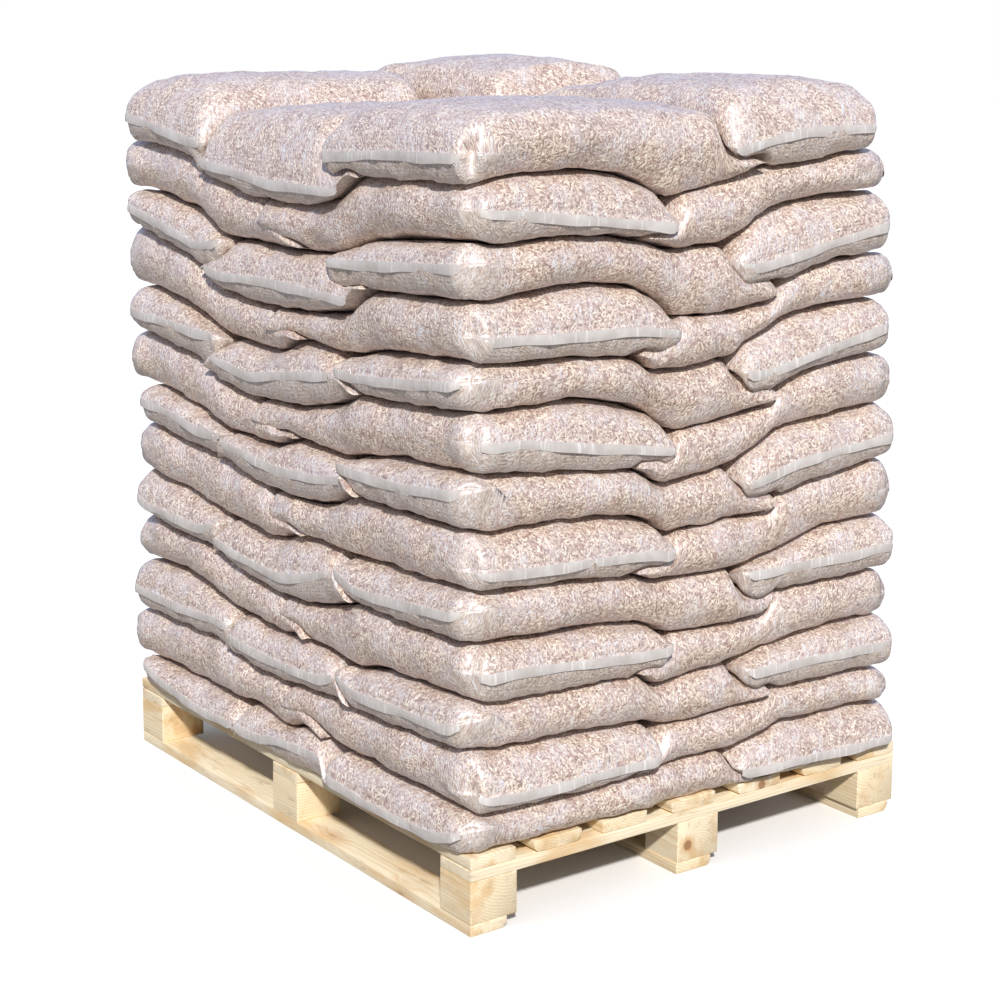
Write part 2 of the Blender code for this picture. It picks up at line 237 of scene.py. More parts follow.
def plug(value, socket):
    """Links a socket, or sets a plain value."""
    if isinstance(value, bpy.types.NodeSocket):
        socket.id_data.links.new(value, socket)
    else:
        socket.default_value = value


def add_node(tree, kind, inputs=None, **settings):
    """Adds a node with its settings, and fills its inputs by name or number."""
    node = tree.nodes.new(kind)
    for key, value in settings.items():
        setattr(node, key, value)
    for label, value in (inputs or {}).items():
        plug(value, node.inputs[label])
    return node


def tree_of(*values):
    return next(value.id_data for value in values if isinstance(value, bpy.types.NodeSocket))


def sums(operation, *values):
    """One step of arithmetic on sockets and plain numbers."""
    node = add_node(tree_of(*values), "ShaderNodeMath", operation=operation)
    for value, socket in zip(values, node.inputs):
        plug(value, socket)
    return node.outputs[0]


def plus(a, b):
    return sums("ADD", a, b)


def minus(a, b):
    return sums("SUBTRACT", a, b)


def times(a, b):
    return sums("MULTIPLY", a, b)


def times_plus(a, b, c):
    return sums("MULTIPLY_ADD", a, b, c)


def vectors(operation, a, b):
    node = add_node(tree_of(a, b), "ShaderNodeVectorMath", operation=operation)
    plug(a, node.inputs[0])
    plug(b, node.inputs["Scale" if operation == "SCALE" else 1])
    return node.outputs[0]


def split(vector):
    return add_node(tree_of(vector), "ShaderNodeSeparateXYZ", {0: vector}).outputs


def remap(value, low, high, to_low=0.0, to_high=1.0, smooth=True):
    node = add_node(
        tree_of(value), "ShaderNodeMapRange",
        {"Value": value, "From Min": low, "From Max": high, "To Min": to_low, "To Max": to_high},
        interpolation_type="SMOOTHSTEP" if smooth else "LINEAR",
    )
    return node.outputs["Result"]


def mix_value(share, a, b):
    node = add_node(tree_of(share, a, b), "ShaderNodeMix", {"Factor": share, "A": a, "B": b},
                    data_type="FLOAT")
    return node.outputs["Result"]


def mix_colour(share, a, b):
    """Mixes two colours, each a socket or a plain (red, green, blue)."""
    a, b = ((*colour, 1.0) if isinstance(colour, tuple) else colour for colour in (a, b))
    node = add_node(tree_of(share, a, b), "ShaderNodeMix", {"Factor": share, "A": a, "B": b},
                    data_type="RGBA")
    return node.outputs["Result"]


def colour_steps(value, steps):
    """The colours that a value runs through, as (place, colour) from first to last."""
    node = add_node(tree_of(value), "ShaderNodeValToRGB", {0: value})
    elements = node.color_ramp.elements
    for element, (place, colour) in zip(elements, (steps[0], steps[-1])):
        element.position = place
        element.color = (*colour, 1.0)
    for place, colour in steps[1:-1]:
        elements.new(place).color = (*colour, 1.0)
    return node.outputs[0]


def noise(vector, scale, detail=2.0, roughness=0.5, flat=False):
    node = add_node(
        tree_of(vector), "ShaderNodeTexNoise",
        {"Vector": vector, "Scale": scale, "Detail": detail, "Roughness": roughness},
        noise_dimensions="2D" if flat else "3D",
    )
    return node.outputs["Fac"]


def stretch(vector, amounts, shift=(0.0, 0.0, 0.0)):
    node = add_node(tree_of(vector), "ShaderNodeMapping",
                    {"Vector": vector, "Scale": amounts, "Location": shift})
    return node.outputs["Vector"]


def new_group(name, inputs, outputs, kind="ShaderNodeTree"):
    """A node group. inputs are (name, socket kind, value), outputs are (name, socket kind)."""
    tree = bpy.data.node_groups.new(name, kind)
    for label, socket_kind, value in inputs:
        socket = tree.interface.new_socket(name=label, in_out="INPUT", socket_type=socket_kind)
        if value is not None:
            socket.default_value = value
    for label, socket_kind in outputs:
        tree.interface.new_socket(name=label, in_out="OUTPUT", socket_type=socket_kind)
    return tree, tree.nodes.new("NodeGroupInput").outputs, tree.nodes.new("NodeGroupOutput").inputs


def place_group(group, **values):
    """Places a group. An underscore in a value's name stands for a space."""
    inputs = {label.replace("_", " "): value for label, value in values.items()}
    return add_node(tree_of(*values.values()), "ShaderNodeGroup", inputs, node_tree=group).outputs


def new_material(name):
    material = bpy.data.materials.new(name)
    material.use_nodes = True
    return material, material.node_tree, material.node_tree.nodes["Principled BSDF"]


def object_place(tree):
    return add_node(tree, "ShaderNodeTexCoord").outputs["Object"]


def mask(tree, name):
    return add_node(tree, "ShaderNodeAttribute", attribute_name=name).outputs["Fac"]


def dress_shader(shader, values, relief, strength, depth):
    """Fills the shader's inputs, and gives it a relief of this strength and depth in metres."""
    for label, value in values.items():
        plug(value, shader.inputs[label])
    bump = add_node(shader.id_data, "ShaderNodeBump",
                    {"Strength": strength, "Distance": depth, "Height": relief})
    plug(bump.outputs[0], shader.inputs["Normal"])


# Shading groups

# The layers of pellets from the lowest up: pellets per metre, shift of the map, lift
PELLET_LAYERS = (
    (188.0, (0.0, 0.0, 0.0), 0.00),
    (167.0, (0.123, 0.037, 0.0), 0.20),
    (139.0, (0.239, 0.097, 0.0), 0.42),
)


def pellet_layer_group():
    """One loose layer of pellets on a flat map in metres: short rods, one to a cell."""
    tree, given, out = new_group(
        "one layer of pellets",
        (
            ("Map", VECTOR, None),
            ("Cells per Metre", FLOAT, 140.0),
            ("Shift", VECTOR, (0.0, 0.0, 0.0)),
            ("Radius", FLOAT, 0.002),
            ("Length", FLOAT, 0.008),
            ("Lift", FLOAT, 0.0),
        ),
        (("Height", FLOAT), ("Tone", FLOAT)),
    )
    spot = vectors("ADD", given["Map"], given["Shift"])
    cells = add_node(
        tree, "ShaderNodeTexVoronoi", {"Vector": spot, "Scale": given["Cells per Metre"]},
        voronoi_dimensions="2D", feature="F1",
    ).outputs
    random = add_node(tree, "ShaderNodeSeparateColor", {0: cells["Color"]}).outputs
    turned = add_node(
        tree, "ShaderNodeVectorRotate",
        {"Vector": vectors("SUBTRACT", spot, cells["Position"]), "Angle": times(random[0], math.pi)},
        rotation_type="Z_AXIS",
    )
    along, across = split(turned.outputs[0])[:2]

    # A rod is straight over its middle, for a length of its own, and round across and at its ends
    half = times(given["Length"], times_plus(random[1], 0.35, 0.2))
    past = sums("MAXIMUM", minus(sums("ABSOLUTE", along), half), 0.0)
    reach = times_plus(across, across, times(past, past))
    share = sums("DIVIDE", reach, times(given["Radius"], given["Radius"]))
    round_top = sums("MAXIMUM", minus(1.0, share), 0.0)
    inside = sums("GREATER_THAN", round_top, 0.0)
    lift = times_plus(random[2], 0.5, given["Lift"])
    plug(times(plus(round_top, lift), inside), out["Height"])

    # Its tone comes from the same random number as its lift
    plug(sums("FRACT", times(random[2], 7.13)), out["Tone"])
    return tree


def pellets_group(layer_group):
    """Several layers of pellets, the highest of them showing. Height is the last layer's."""
    tree, given, out = new_group(
        "wood pellets",
        (("Map", VECTOR, None), ("Radius", FLOAT, 0.0020), ("Length", FLOAT, 0.0074)),
        (("Height", FLOAT), ("Tone", FLOAT), ("Gap", FLOAT)),
    )
    highest = tone = None
    for per_metre, shift, lift in PELLET_LAYERS:
        layer = place_group(
            layer_group, Map=given["Map"], Cells_per_Metre=per_metre, Shift=shift,
            Radius=given["Radius"], Length=given["Length"], Lift=lift,
        )
        if highest is None:
            highest, tone = layer["Height"], layer["Tone"]
            continue
        tone = mix_value(sums("GREATER_THAN", layer["Height"], highest), tone, layer["Tone"])
        highest = sums("MAXIMUM", highest, layer["Height"])
    plug(layer["Height"], out["Height"])
    plug(tone, out["Tone"])
    # Gap is 1 where no pellet stands high; the film finish paints shade there
    plug(remap(highest, 0.90, 0.30, smooth=False), out["Gap"])
    return tree


def crinkle_glint_group():
    """Painted white glints on pulled film: fine, nearly upright streaks that lie in clusters.

    Amount widens the clusters. Streak and Patch are the two patterns behind the glints.
    """
    tree, given, out = new_group(
        "film crinkles and painted glints",
        (("Map", VECTOR, None), ("Place", VECTOR, None), ("Amount", FLOAT, 0.0)),
        (("Glint", FLOAT), ("Streak", FLOAT), ("Patch", FLOAT)),
    )
    x, y, z = split(given["Place"])
    slanted = add_node(
        tree, "ShaderNodeCombineXYZ", {0: times_plus(z, 0.32, x), 1: times_plus(z, -0.26, y), 2: z}
    )
    streak = noise(stretch(slanted.outputs[0], (150.0, 150.0, 22.0)), 1.0, 0.0)
    line = remap(sums("ABSOLUTE", minus(streak, 0.5)), 0.055, 0.015)
    patch = noise(given["Map"], 15.0, 1.0, flat=True)
    spread = times_plus(given["Amount"], -0.18, 0.50)
    clusters = remap(patch, spread, plus(spread, 0.09))
    plug(times(line, clusters), out["Glint"])
    plug(streak, out["Streak"])
    plug(patch, out["Patch"])
    return tree


def timber_group():
    """Growth rings about a core that runs along the board, fine fibre and a few knots."""
    tree, given, out = new_group(
        "sawn pine",
        (("Place", VECTOR, None), ("Ring", FLOAT, 0.0055), ("Grain", FLOAT, 1.0)),
        (("Ring Tone", FLOAT), ("Fibre", FLOAT), ("Knot", FLOAT), ("Knot Rim", FLOAT)),
    )
    place = given["Place"]
    from_knot = add_node(
        tree, "ShaderNodeTexVoronoi", {"Vector": stretch(place, (4.4, 13.0, 13.0)), "Scale": 1.0},
        voronoi_dimensions="3D", feature="F1",
    ).outputs["Distance"]

    # The rings sway along the board and swell round a knot
    sway = times(minus(noise(stretch(place, (1.6, 9.0, 9.0)), 1.0, 3.0), 0.5), 0.030)
    across, up = (sums("POWER", sums("ABSOLUTE", part), 2.0) for part in split(place)[1:])
    radius = plus(sums("SQRT", plus(across, up)), sway)
    radius = times_plus(remap(from_knot, 0.36, 0.04), 0.012, radius)
    turn = sums("FRACT", sums("DIVIDE", radius, given["Ring"]))
    plug(times(sums("POWER", turn, 3.0), remap(turn, 1.0, 0.9)), out["Ring Tone"])

    fibre = noise(stretch(place, (9.0, 420.0, 420.0)), 1.0, 4.0, 0.6)
    plug(mix_value(given["Grain"], 0.5, fibre), out["Fibre"])
    plug(remap(from_knot, 0.15, 0.10), out["Knot"])
    plug(remap(from_knot, 0.34, 0.12), out["Knot Rim"])
    return tree


# Finishes

PELLET_TONES = (
    (0.0, (0.34, 0.215, 0.165)),
    (0.18, (0.50, 0.350, 0.280)),
    (0.42, (0.615, 0.470, 0.390)),
    (0.64, (0.70, 0.565, 0.475)),
    (0.86, (0.84, 0.710, 0.560)),
    (1.0, (0.94, 0.860, 0.740)),
)
# Painted shade in the low gaps between pellets
PELLET_GAP_SHADE = (0.17, 0.105, 0.095)
# Pinkish-lilac patches: clouded film with a painted sheen of the film's reflection
CLOUDED_FILM_SHEEN = (0.62, 0.51, 0.52)
# Streaked, greyer film below the weld, darkened with painted shade
SHADED_UNDER_FILM = ((0.46, 0.375, 0.31), (0.62, 0.54, 0.47))
# Whitish haze at ends and corners: clouded film with painted highlight
HAZE_AND_HIGHLIGHT = (0.84, 0.79, 0.77)
# Painted white glints on crinkled, pulled film
PAINTED_GLINT = (0.76, 0.755, 0.78)
WELD_FILM = ((0.56, 0.515, 0.485), (0.66, 0.625, 0.60))
WELD_RIB = (0.86, 0.85, 0.84)

# Of each pair, the first is for a cool board and the second for a warm one
EARLY_WOOD = ((0.93, 0.83, 0.63), (0.89, 0.73, 0.48))
LATE_WOOD = ((0.76, 0.56, 0.30), (0.66, 0.42, 0.18))
PALE_FIBRE = (0.96, 0.88, 0.68)
DARK_FIBRE = (0.62, 0.42, 0.20)
STAIN = (0.70, 0.44, 0.18)
SCUFF = (0.50, 0.34, 0.19)
KNOT_RIM = (0.62, 0.33, 0.11)
KNOT = (0.34, 0.17, 0.08)

STEEL = ((0.30, 0.28, 0.26), (0.52, 0.51, 0.50))

# The floor's colour in the light that it gives back, and as the camera sees it
FLOOR = ((0.32, 0.31, 0.30), (0.96, 0.945, 0.93))


def filled_film_finish(pellets, crinkles):
    """Clear film over a bed of pellets, with clouded places, painted highlights on pulled film, and
    painted shade between pellets and below the weld.
    """
    material, tree, shader = new_material("film_over_pellets")
    chart = add_node(tree, "ShaderNodeUVMap", uv_map="film").outputs[0]
    veil = mask(tree, "veil")
    bed = place_group(pellets, Map=chart)
    film = place_group(crinkles, Map=chart, Place=object_place(tree), Amount=veil)
    # Painted highlights where the film is crinkled
    glint = times(film["Glint"], 0.72)
    colour = colour_steps(bed["Tone"], PELLET_TONES)
    # Painted shade darkens the gaps between the highest pellets
    colour = mix_colour(times(bed["Gap"], 0.85), colour, PELLET_GAP_SHADE)
    # Patches of clouded film and painted sheen
    colour = mix_colour(remap(film["Patch"], 0.35, 0.7, 0.0, 0.25), colour, CLOUDED_FILM_SHEEN)
    # Below the weld the film is streaked and darkened with painted shade
    shaded_under_film = mix_colour(remap(film["Streak"], 0.35, 0.65), *SHADED_UNDER_FILM)
    colour = mix_colour(times(mask(tree, "under"), 0.5), colour, shaded_under_film)
    # Clouded film and painted highlight at ends and corners
    colour = mix_colour(times(veil, 0.10), colour, HAZE_AND_HIGHLIGHT)
    colour = mix_colour(glint, colour, PAINTED_GLINT)
    rough = remap(film["Patch"], 0.3, 0.7, 0.46, 0.60)
    dress_shader(shader, {
        "Base Color": colour,
        "Roughness": mix_value(glint, rough, 0.45),
        "Specular IOR Level": 0.25,
        "Coat Weight": 1.0,
        "Coat Roughness": 0.43,
        "Coat IOR": 1.9,
    }, bed["Height"], 0.55, 0.0013)
    return material


def weld_finish():
    """Clouded double film, ribbed across the weld."""
    material, tree, shader = new_material("clouded_weld_film")
    place = object_place(tree)
    cloud = noise(place, 38.0, 2.0, 0.6)
    ribs = noise(stretch(place, (160.0, 160.0, 8.0)), 1.0, 1.0)
    colour = mix_colour(remap(cloud, 0.3, 0.75), *WELD_FILM)
    dress_shader(shader, {
        "Base Color": mix_colour(remap(ribs, 0.62, 0.70, 0.0, 0.6), colour, WELD_RIB),
        "Roughness": remap(cloud, 0.3, 0.7, 0.30, 0.46),
        "Specular IOR Level": 0.5,
    }, plus(ribs, cloud), 0.5, 0.001)
    return material


def pine_finish(timber):
    """Sawn softwood with rings, fibre, stains, scuffs and knots."""
    material, tree, shader = new_material("sawn_pine")
    place = add_node(tree, "ShaderNodeAttribute", attribute_name="grain").outputs["Vector"]
    warm = mask(tree, "warmth")
    wood = place_group(timber, Place=place)
    early, late = mix_colour(warm, *EARLY_WOOD), mix_colour(warm, *LATE_WOOD)
    colour = mix_colour(times(wood["Ring Tone"], 0.85), early, late)
    stain = noise(stretch(place, (5.0, 22.0, 22.0), (2.0, 5.0, 1.0)), 1.0, 3.0)
    scuff = noise(stretch(place, (14.0, 60.0, 60.0), (7.0, 1.0, 3.0)), 1.0, 4.0, 0.65)
    for share, tint in (
        (remap(wood["Fibre"], 0.45, 0.75, 0.0, 0.5), PALE_FIBRE),
        (remap(wood["Fibre"], 0.40, 0.25, 0.0, 0.5), DARK_FIBRE),
        (remap(stain, 0.46, 0.66, 0.0, 0.62), STAIN),
        (remap(scuff, 0.56, 0.72, 0.0, 0.50), SCUFF),
        (times(wood["Knot Rim"], 0.5), KNOT_RIM),
        (times(wood["Knot"], 0.85), KNOT),
    ):
        colour = mix_colour(share, colour, tint)
    dress_shader(shader, {
        "Base Color": colour,
        "Roughness": remap(wood["Fibre"], 0.3, 0.7, 0.62, 0.82),
        "Specular IOR Level": 0.3,
    }, times_plus(wood["Ring Tone"], 0.25, wood["Fibre"]), 0.5, 0.0012)
    return material


def nail_finish():
    material, tree, shader = new_material("nail_steel")
    dull = noise(object_place(tree), 900.0, 3.0)
    plug(mix_colour(remap(dull, 0.35, 0.7), *STEEL), shader.inputs["Base Color"])
    plug(remap(dull, 0.3, 0.7, 0.35, 0.6), shader.inputs["Roughness"])
    shader.inputs["Metallic"].default_value = 1.0
    return material


def floor_finish():
    material, tree, shader = new_material("pale_floor")
    seen = add_node(tree, "ShaderNodeLightPath").outputs["Is Camera Ray"]
    plug(mix_colour(seen, *FLOOR), shader.inputs["Base Color"])
    shader.inputs["Roughness"].default_value = 0.8
    shader.inputs["Specular IOR Level"].default_value = 0.0
    return material


# Curves and tables that shape the film

# Two waves in which a free edge wanders: depth, and radians per metre
WANDER = ((0.0035, 14), (0.0025, 31))

# Unevenness of the fill under the film: its depth, and its longest and shortest wave
LUMPS = ((0.0016, 0.16, 0.05), (0.0006, 0.045, 0.022))

# The fold where a full corner's ear is tucked in: its width and its depth
TUCK = (0.0085, 0.008)
TOP_TUCK = (0.0075, 0.020)

# From how far in the closing line falls toward a sack's inner end, and runs to its weld
TIP_FALL = 0.09
WELD_FALL = 0.085


def read_table(points, at, reach=0.011):
    """Reads a table of (place, height) in millimetres, softened over a short reach."""
    places, heights = np.array(points).T * MM
    total = 0
    for step in (-1.0, -0.5, 0.0, 0.5, 1.0):
        total = total + np.interp(at + step * reach, places, heights)
    return total / 5


def seat_height(seat, x, y):
    """Height of the seat on top of this many courses."""
    if seat == 0:
        return np.full_like(x, DECK_TOP)
    front = read_table(FRONT_SEATS[seat - 1], x)
    side = read_table(SIDE_SEATS[seat - 1], y)
    return front + side - read_table(SIDE_SEATS[seat - 1], np.array(-0.5))


def fade(value):
    """A smooth step from 0 to 1."""
    share = np.clip(value, 0.0, 1.0)
    return share * share * (3 - 2 * share)


def fall_off(distance, reach):
    """A bell that is 1 at no distance and falls off over a reach."""
    return np.exp(-((distance / reach) ** 2))


def lens(depth, reach, power):
    """How far a filled form has opened at this depth from its edge: 0 at the edge, 1 inside."""
    share = np.clip(depth / reach, 0.0, 1.0)
    return np.clip(1 - (1 - share) ** power, 0.0, 1.0) ** (1 / power)


def ripples(u, v, random, longest, shortest, count=9):
    """A smooth seeded unevenness over a flat map, between about -1 and 1."""
    total = 0
    for _ in range(count):
        size = longest * (shortest / longest) ** random.random()
        turn = random.uniform(0, 2 * math.pi)
        phase = random.uniform(0, 2 * math.pi)
        wave = 2 * math.pi / size
        total = total + np.sin(wave * (math.cos(turn) * u + math.sin(turn) * v) + phase)
    return total / math.sqrt(count)


# Where the five sacks of a course lie

# Shares of the course's height at which laps meet: at a hidden side, inside the stack, and the
# least that is left of the sack below
HIDDEN_NOSE = 0.5
INNER_NOSE = 0.7
LEAST_SHARE = 0.04

# Joints between the three sacks at the hidden side of an even course, and across an odd one
HIDDEN_THIRDS = ((-0.185, -0.235), (0.190, 0.250))
HIDDEN_HALF = (-0.050, 0.060)
HALF_NOSE = 0.86


def edge(place, lap=None):
    """One long edge of a sack: free, or lapped with its neighbour."""
    return {"place": place, "lap": lap}


def new_lap(axis, upper, lower, nose, end, blunt=0.0, rounding=SIDE_REACH):
    """A joint that runs in the given axis, with its nose height at the stack's side.

    rounding is how far in the lower sack is rounded there, so the upper one wraps down over it.
    """
    return {"axis": axis, "upper": upper, "lower": lower, "nose": nose, "end": end,
            "blunt": blunt, "rounding": rounding, "on_top": False}


def joint_share(at, lap, from_end):
    """Share of the course's height at which two lapped sacks meet.

    It is lap["nose"] at the upper end, where the top sack ends, and falls to lap["blunt"] at
    the lower end, where the other one ends. Past the nose the lower sack swells to full height.
    """
    upper, lower = lap["upper"], lap["lower"]
    way = 1.0 if lower > upper else -1.0
    blunt = max(lap["blunt"], LEAST_SHARE)
    places = [upper - way * 0.020, upper, (upper + lower) / 2, lower, lower + way * 0.022]
    order = 1 if way > 0 else -1
    inside = fade(from_end / 0.10)
    total = 0
    for weight, nose in ((1 - inside, lap["nose"]), (inside, INNER_NOSE)):
        shares = [1.0, nose, nose * 0.5 + blunt * 0.5, blunt, 0.0]
        total = total + weight * np.interp(at, places[::order], shares[::order])
    return total


def weld_share(course, table, at, x, y):
    """How high a weld lies in its course at one place, as a share of the course's height."""
    low = float(seat_height(course - 1, np.array(x), np.array(y)))
    high = low + CROWN_STEP
    if course < COURSES:
        high = float(seat_height(course, np.array(x), np.array(y)))
    height = float(read_table(table, np.array(at), 0.01))
    return min(max((height - low) / (high - low) + 0.02, 0.25), 0.85)


def course_plan(course):
    """The five sacks of a course, each with its ends, edges and joints."""
    left = LEFT_REACH[course - 1] * MM
    back = BACK_REACH[course - 1] * MM
    upper_y, lower_y = (value * MM for value in SIDE_JOINTS[course])
    three_in_front = course % 2 == 1
    side_nose = weld_share(course, SIDE_WELDS[course], upper_y, 0.58, upper_y)
    if three_in_front:
        pairs = [tuple(value * MM for value in pair) for pair in THIRDS[course]]
        welds = FRONT_WELDS[course]
        outer, three_left = FRONT_END, left
        noses = [
            weld_share(course, weld, pair[0], pair[0], -0.49)
            for weld, pair in zip((welds[0], welds[2]), pairs)
        ]
        side_nose, side_blunt = min(side_nose, 0.6), 0.34
    else:
        pairs = HIDDEN_THIRDS
        welds = (None, None, None)
        outer, three_left = back, left + 0.006
        noses = (HIDDEN_NOSE, HIDDEN_NOSE)
        side_blunt = 0.16
    joints = [
        new_lap("x", upper, lower, nose, outer, rounding=END_REACH)
        for (upper, lower), nose in zip(pairs, noses)
    ]
    over = [dict(joint, on_top=True) for joint in joints]
    across = new_lap("y", upper_y, lower_y, side_nose, RIGHT_END, side_blunt)
    spans = (
        (edge(three_left), edge(pairs[0][0], over[0])),
        (edge(pairs[0][1], joints[0]), edge(pairs[1][1], joints[1])),
        (edge(pairs[1][0], over[1]), edge(RIGHT_SIDE)),
    )
    sacks = [
        {"axis": "y", "outer": outer, "inner": lower_y, "low": low, "high": high,
         "weld": weld, "tip_lap": across}
        for (low, high), weld in zip(spans, welds)
    ]

    # The two long sacks, which lie on the tips of the three
    lapped = edge(upper_y, dict(across, on_top=True))
    if three_in_front:
        middle, open_side, left_end = HIDDEN_HALF, back, left + 0.006
        low, high = lapped, edge(back)
    else:
        middle, open_side, left_end = [value * MM for value in HALVES[course]], FRONT_SIDE, left
        low, high = edge(FRONT_SIDE), lapped
    half = new_lap("x", *middle, HALF_NOSE, open_side)
    for outer, inner, weld, tip_lap in (
        (left_end, middle[1], None, half),
        (RIGHT_END, middle[0], SIDE_WELDS[course], dict(half, on_top=True)),
    ):
        sacks.append({"axis": "x", "outer": outer, "inner": inner, "low": low, "high": high,
                      "weld": weld, "tip_lap": tip_lap})
    for number, sack in enumerate(sacks):
        sack["course"] = course
        sack["number"] = number + 1
        sack["crown"] = CROWNS[number] if course == COURSES else None
    return sacks


# The film of one sack. a is how far in a point lies from the sack's outer end, depth how far in
# from the nearer long edge.

# Width over which the points across a sack are spread, and their spacing along it
SACK_WIDTH = 0.420
STATION_STEP = 0.0135

# Points over each rounded side, below the top course and in it
SIDE_STEPS = 9
TOP_SIDE_STEPS = 15

# How far a lapped edge draws in, and how far in its corners and the inner end are rounded
LAP_DRAW = 0.010
LAPPED_REACH = 0.016
TIP_ROUNDING = 0.05

# Shift and lift that fit the tables to the welds in front, and to those on the side
FRONT_WELD_FIT = (0.020, 0.006)
SIDE_WELD_FIT = (-0.018, 0.004)

# Pleats at a weld: radians per metre, and how far in they fade
PLEAT_WAVE = 170
PLEAT_REACH = 0.035

# Share of a sack's height at which its edges close: where it lies on its neighbour, and
# elsewhere, less a fall toward its inner end
OVER_CLOSING = 0.24
PLAIN_CLOSING = 0.47
TIP_DROP = 0.30


def rounded_steps(reach, count):
    return [reach * (1 - math.cos(math.pi / 2 * k / count)) for k in range(count + 1)]


def sack_stations(length):
    """Places along a sack, close together where its ends are round."""
    start = rounded_steps(END_REACH, 12)
    finish = [length - step for step in rounded_steps(TIP_ROUNDING, 7)][::-1]
    count = max(int((finish[0] - start[-1]) / STATION_STEP), 4)
    middle = list(np.linspace(start[-1], finish[0], count + 1)[1:-1])
    return np.array(start + middle + finish)


def sack_columns(steps):
    """Places across a sack as shares of its width, close together where its sides are round."""
    start = rounded_steps(SIDE_REACH, steps)
    finish = [SACK_WIDTH - step for step in start][::-1]
    middle = list(np.linspace(SIDE_REACH, SACK_WIDTH - SIDE_REACH, 20)[1:-1])
    return np.array(start + middle + finish) / SACK_WIDTH


def all_round(upper):
    """Carries values on the upper film over to the lower film, so that they run all round."""
    return np.concatenate([upper, upper[:, -2:0:-1]], axis=1)


def sack_room(sack, x, y, from_outline):
    """The seat under a sack, the lowest and highest its film may reach, and its laps' height."""
    seat = seat_height(sack["course"] - 1, x, y)
    if sack["crown"]:
        ceiling = np.full_like(x, sack["crown"][0])
        lap_height = np.full_like(x, CROWN_STEP)
    else:
        ceiling = seat_height(sack["course"], x, y)
        lap_height = ceiling - seat
    base = seat + CLEARANCE
    slot = SLOT * (1 - fade((from_outline - SLOT_DEPTH) / 0.030))
    floor = base + slot
    ceiling = ceiling - CLEARANCE - slot
    for lap in (sack["low"]["lap"], sack["high"]["lap"], sack["tip_lap"]):
        if lap is None:
            continue
        place, other = (x, y) if lap["axis"] == "x" else (y, x)
        from_end = np.abs(other - lap["end"])
        step = joint_share(place, lap, from_end) * lap_height
        if lap["on_top"]:
            # The sack on top wraps down over the rounded end of the one under it
            wrapped = lens(np.maximum(from_end - 0.010, 0.0), lap["rounding"], 1.95)
            step = step * (0.47 + 0.53 * wrapped)
            floor = np.maximum(floor, base + step + CLEARANCE)
            continue
        if sack["crown"]:
            # Past the joint a sack of the top course rises freely
            past = (lap["upper"] - place) * (1 if lap["lower"] > lap["upper"] else -1)
            step = step + 0.2 * fade(past / 0.12)
        ceiling = np.minimum(ceiling, base + step - CLEARANCE)
    return base, floor, np.maximum(ceiling, floor + 0.002), lap_height


def closing_height(sack, a, length, across, near_low, room, seed):
    """Height at which the film closes at its edges and at its weld.

    The second value is how far the weld had to move to stay between the seats.
    """
    base, floor, ceiling, lap_height = room
    laps = (sack["low"]["lap"], sack["high"]["lap"])
    low, high = (bool(lap and lap["on_top"]) for lap in laps)
    at_tip = 1 - fade((length - a) / TIP_FALL)
    plain = PLAIN_CLOSING - TIP_DROP * at_tip
    share = np.where(np.where(near_low, low, high), OVER_CLOSING, plain)
    closing = floor + share * (ceiling - floor)
    if sack["weld"] is None:
        weld = base + HIDDEN_WELD * lap_height + 0.004 * np.sin(across * 17 + seed)
    else:
        shift, lift = FRONT_WELD_FIT if sack["axis"] == "y" else SIDE_WELD_FIT
        weld = read_table(sack["weld"], across - shift, 0.02) + lift
    held = np.clip(weld, floor + 0.004, ceiling - 0.004)
    at_weld = 1 - fade(a / WELD_FALL)
    return closing * (1 - at_weld) + held * at_weld, np.abs(held - weld)[0]


def film_opening(sack, a, bend, depth, full, columns, length):
    """How far the film has opened above and below the height at which it closes."""
    # At a full corner it opens from both edges at once, and at a lapped one from each alone
    past_end = np.clip(1 - (a + bend) / END_REACH, 0.0, 1.0)
    past_side = np.clip(1 - depth / SIDE_REACH, 0.0, 1.0)
    toward_end = past_end**2 / np.maximum(past_end**2 + past_side**2, 1e-9)
    share = np.clip(1 - np.hypot(past_end, past_side), 0.0, 1.0)
    quick = toward_end * (END_REACH / END_UNDER) + (1 - toward_end) * (SIDE_REACH / SIDE_UNDER)
    lapped_top = lens(a, END_REACH, 1.9) * lens(depth, 0.038, 2.0)
    lapped_under = lens(a, END_UNDER, 2.0) * lens(depth, 0.030, 2.0)
    above = np.where(full, lens(share, 1.0, 1.95), lapped_top)
    below = np.where(full, lens(share * quick, 1.0, 2.0), lapped_under)
    below = below * lens(length - a, 0.030, 2.0)
    if not sack["crown"]:
        return above * lens(length - a, 0.026, 2.0), below

    # The top course is free to rise to its crown
    _, rise, fall = sack["crown"]
    off_middle = np.abs(2 * columns - 1)
    off_outer = np.clip(1 - a / rise, 0.0, 1.0)
    off_inner = np.clip(1 - (length - a) / fall, 0.0, 1.0)
    dome = (1 - off_middle**2.2) * (1 - off_outer**2.2) * (1 - off_inner**1.8)
    above = above * (0.62 + 0.38 * dome**0.8)
    return above * lens(length - a, min(fall, 0.13), 2.0), below


def film_chart(ring):
    """A chart in metres: lengths along each line of points, and round each ring."""
    steps = np.linalg.norm(np.diff(ring, axis=0), axis=-1)
    u = np.concatenate([np.zeros((1, ring.shape[1])), np.cumsum(steps, axis=0)])
    u = u - u[len(u) // 2]
    closed = np.concatenate([ring, ring[:, :1]], axis=1)
    steps = np.linalg.norm(np.diff(closed, axis=1), axis=-1)
    v = np.concatenate([np.zeros((len(ring), 1)), np.cumsum(steps, axis=1)], axis=1)
    return u, v


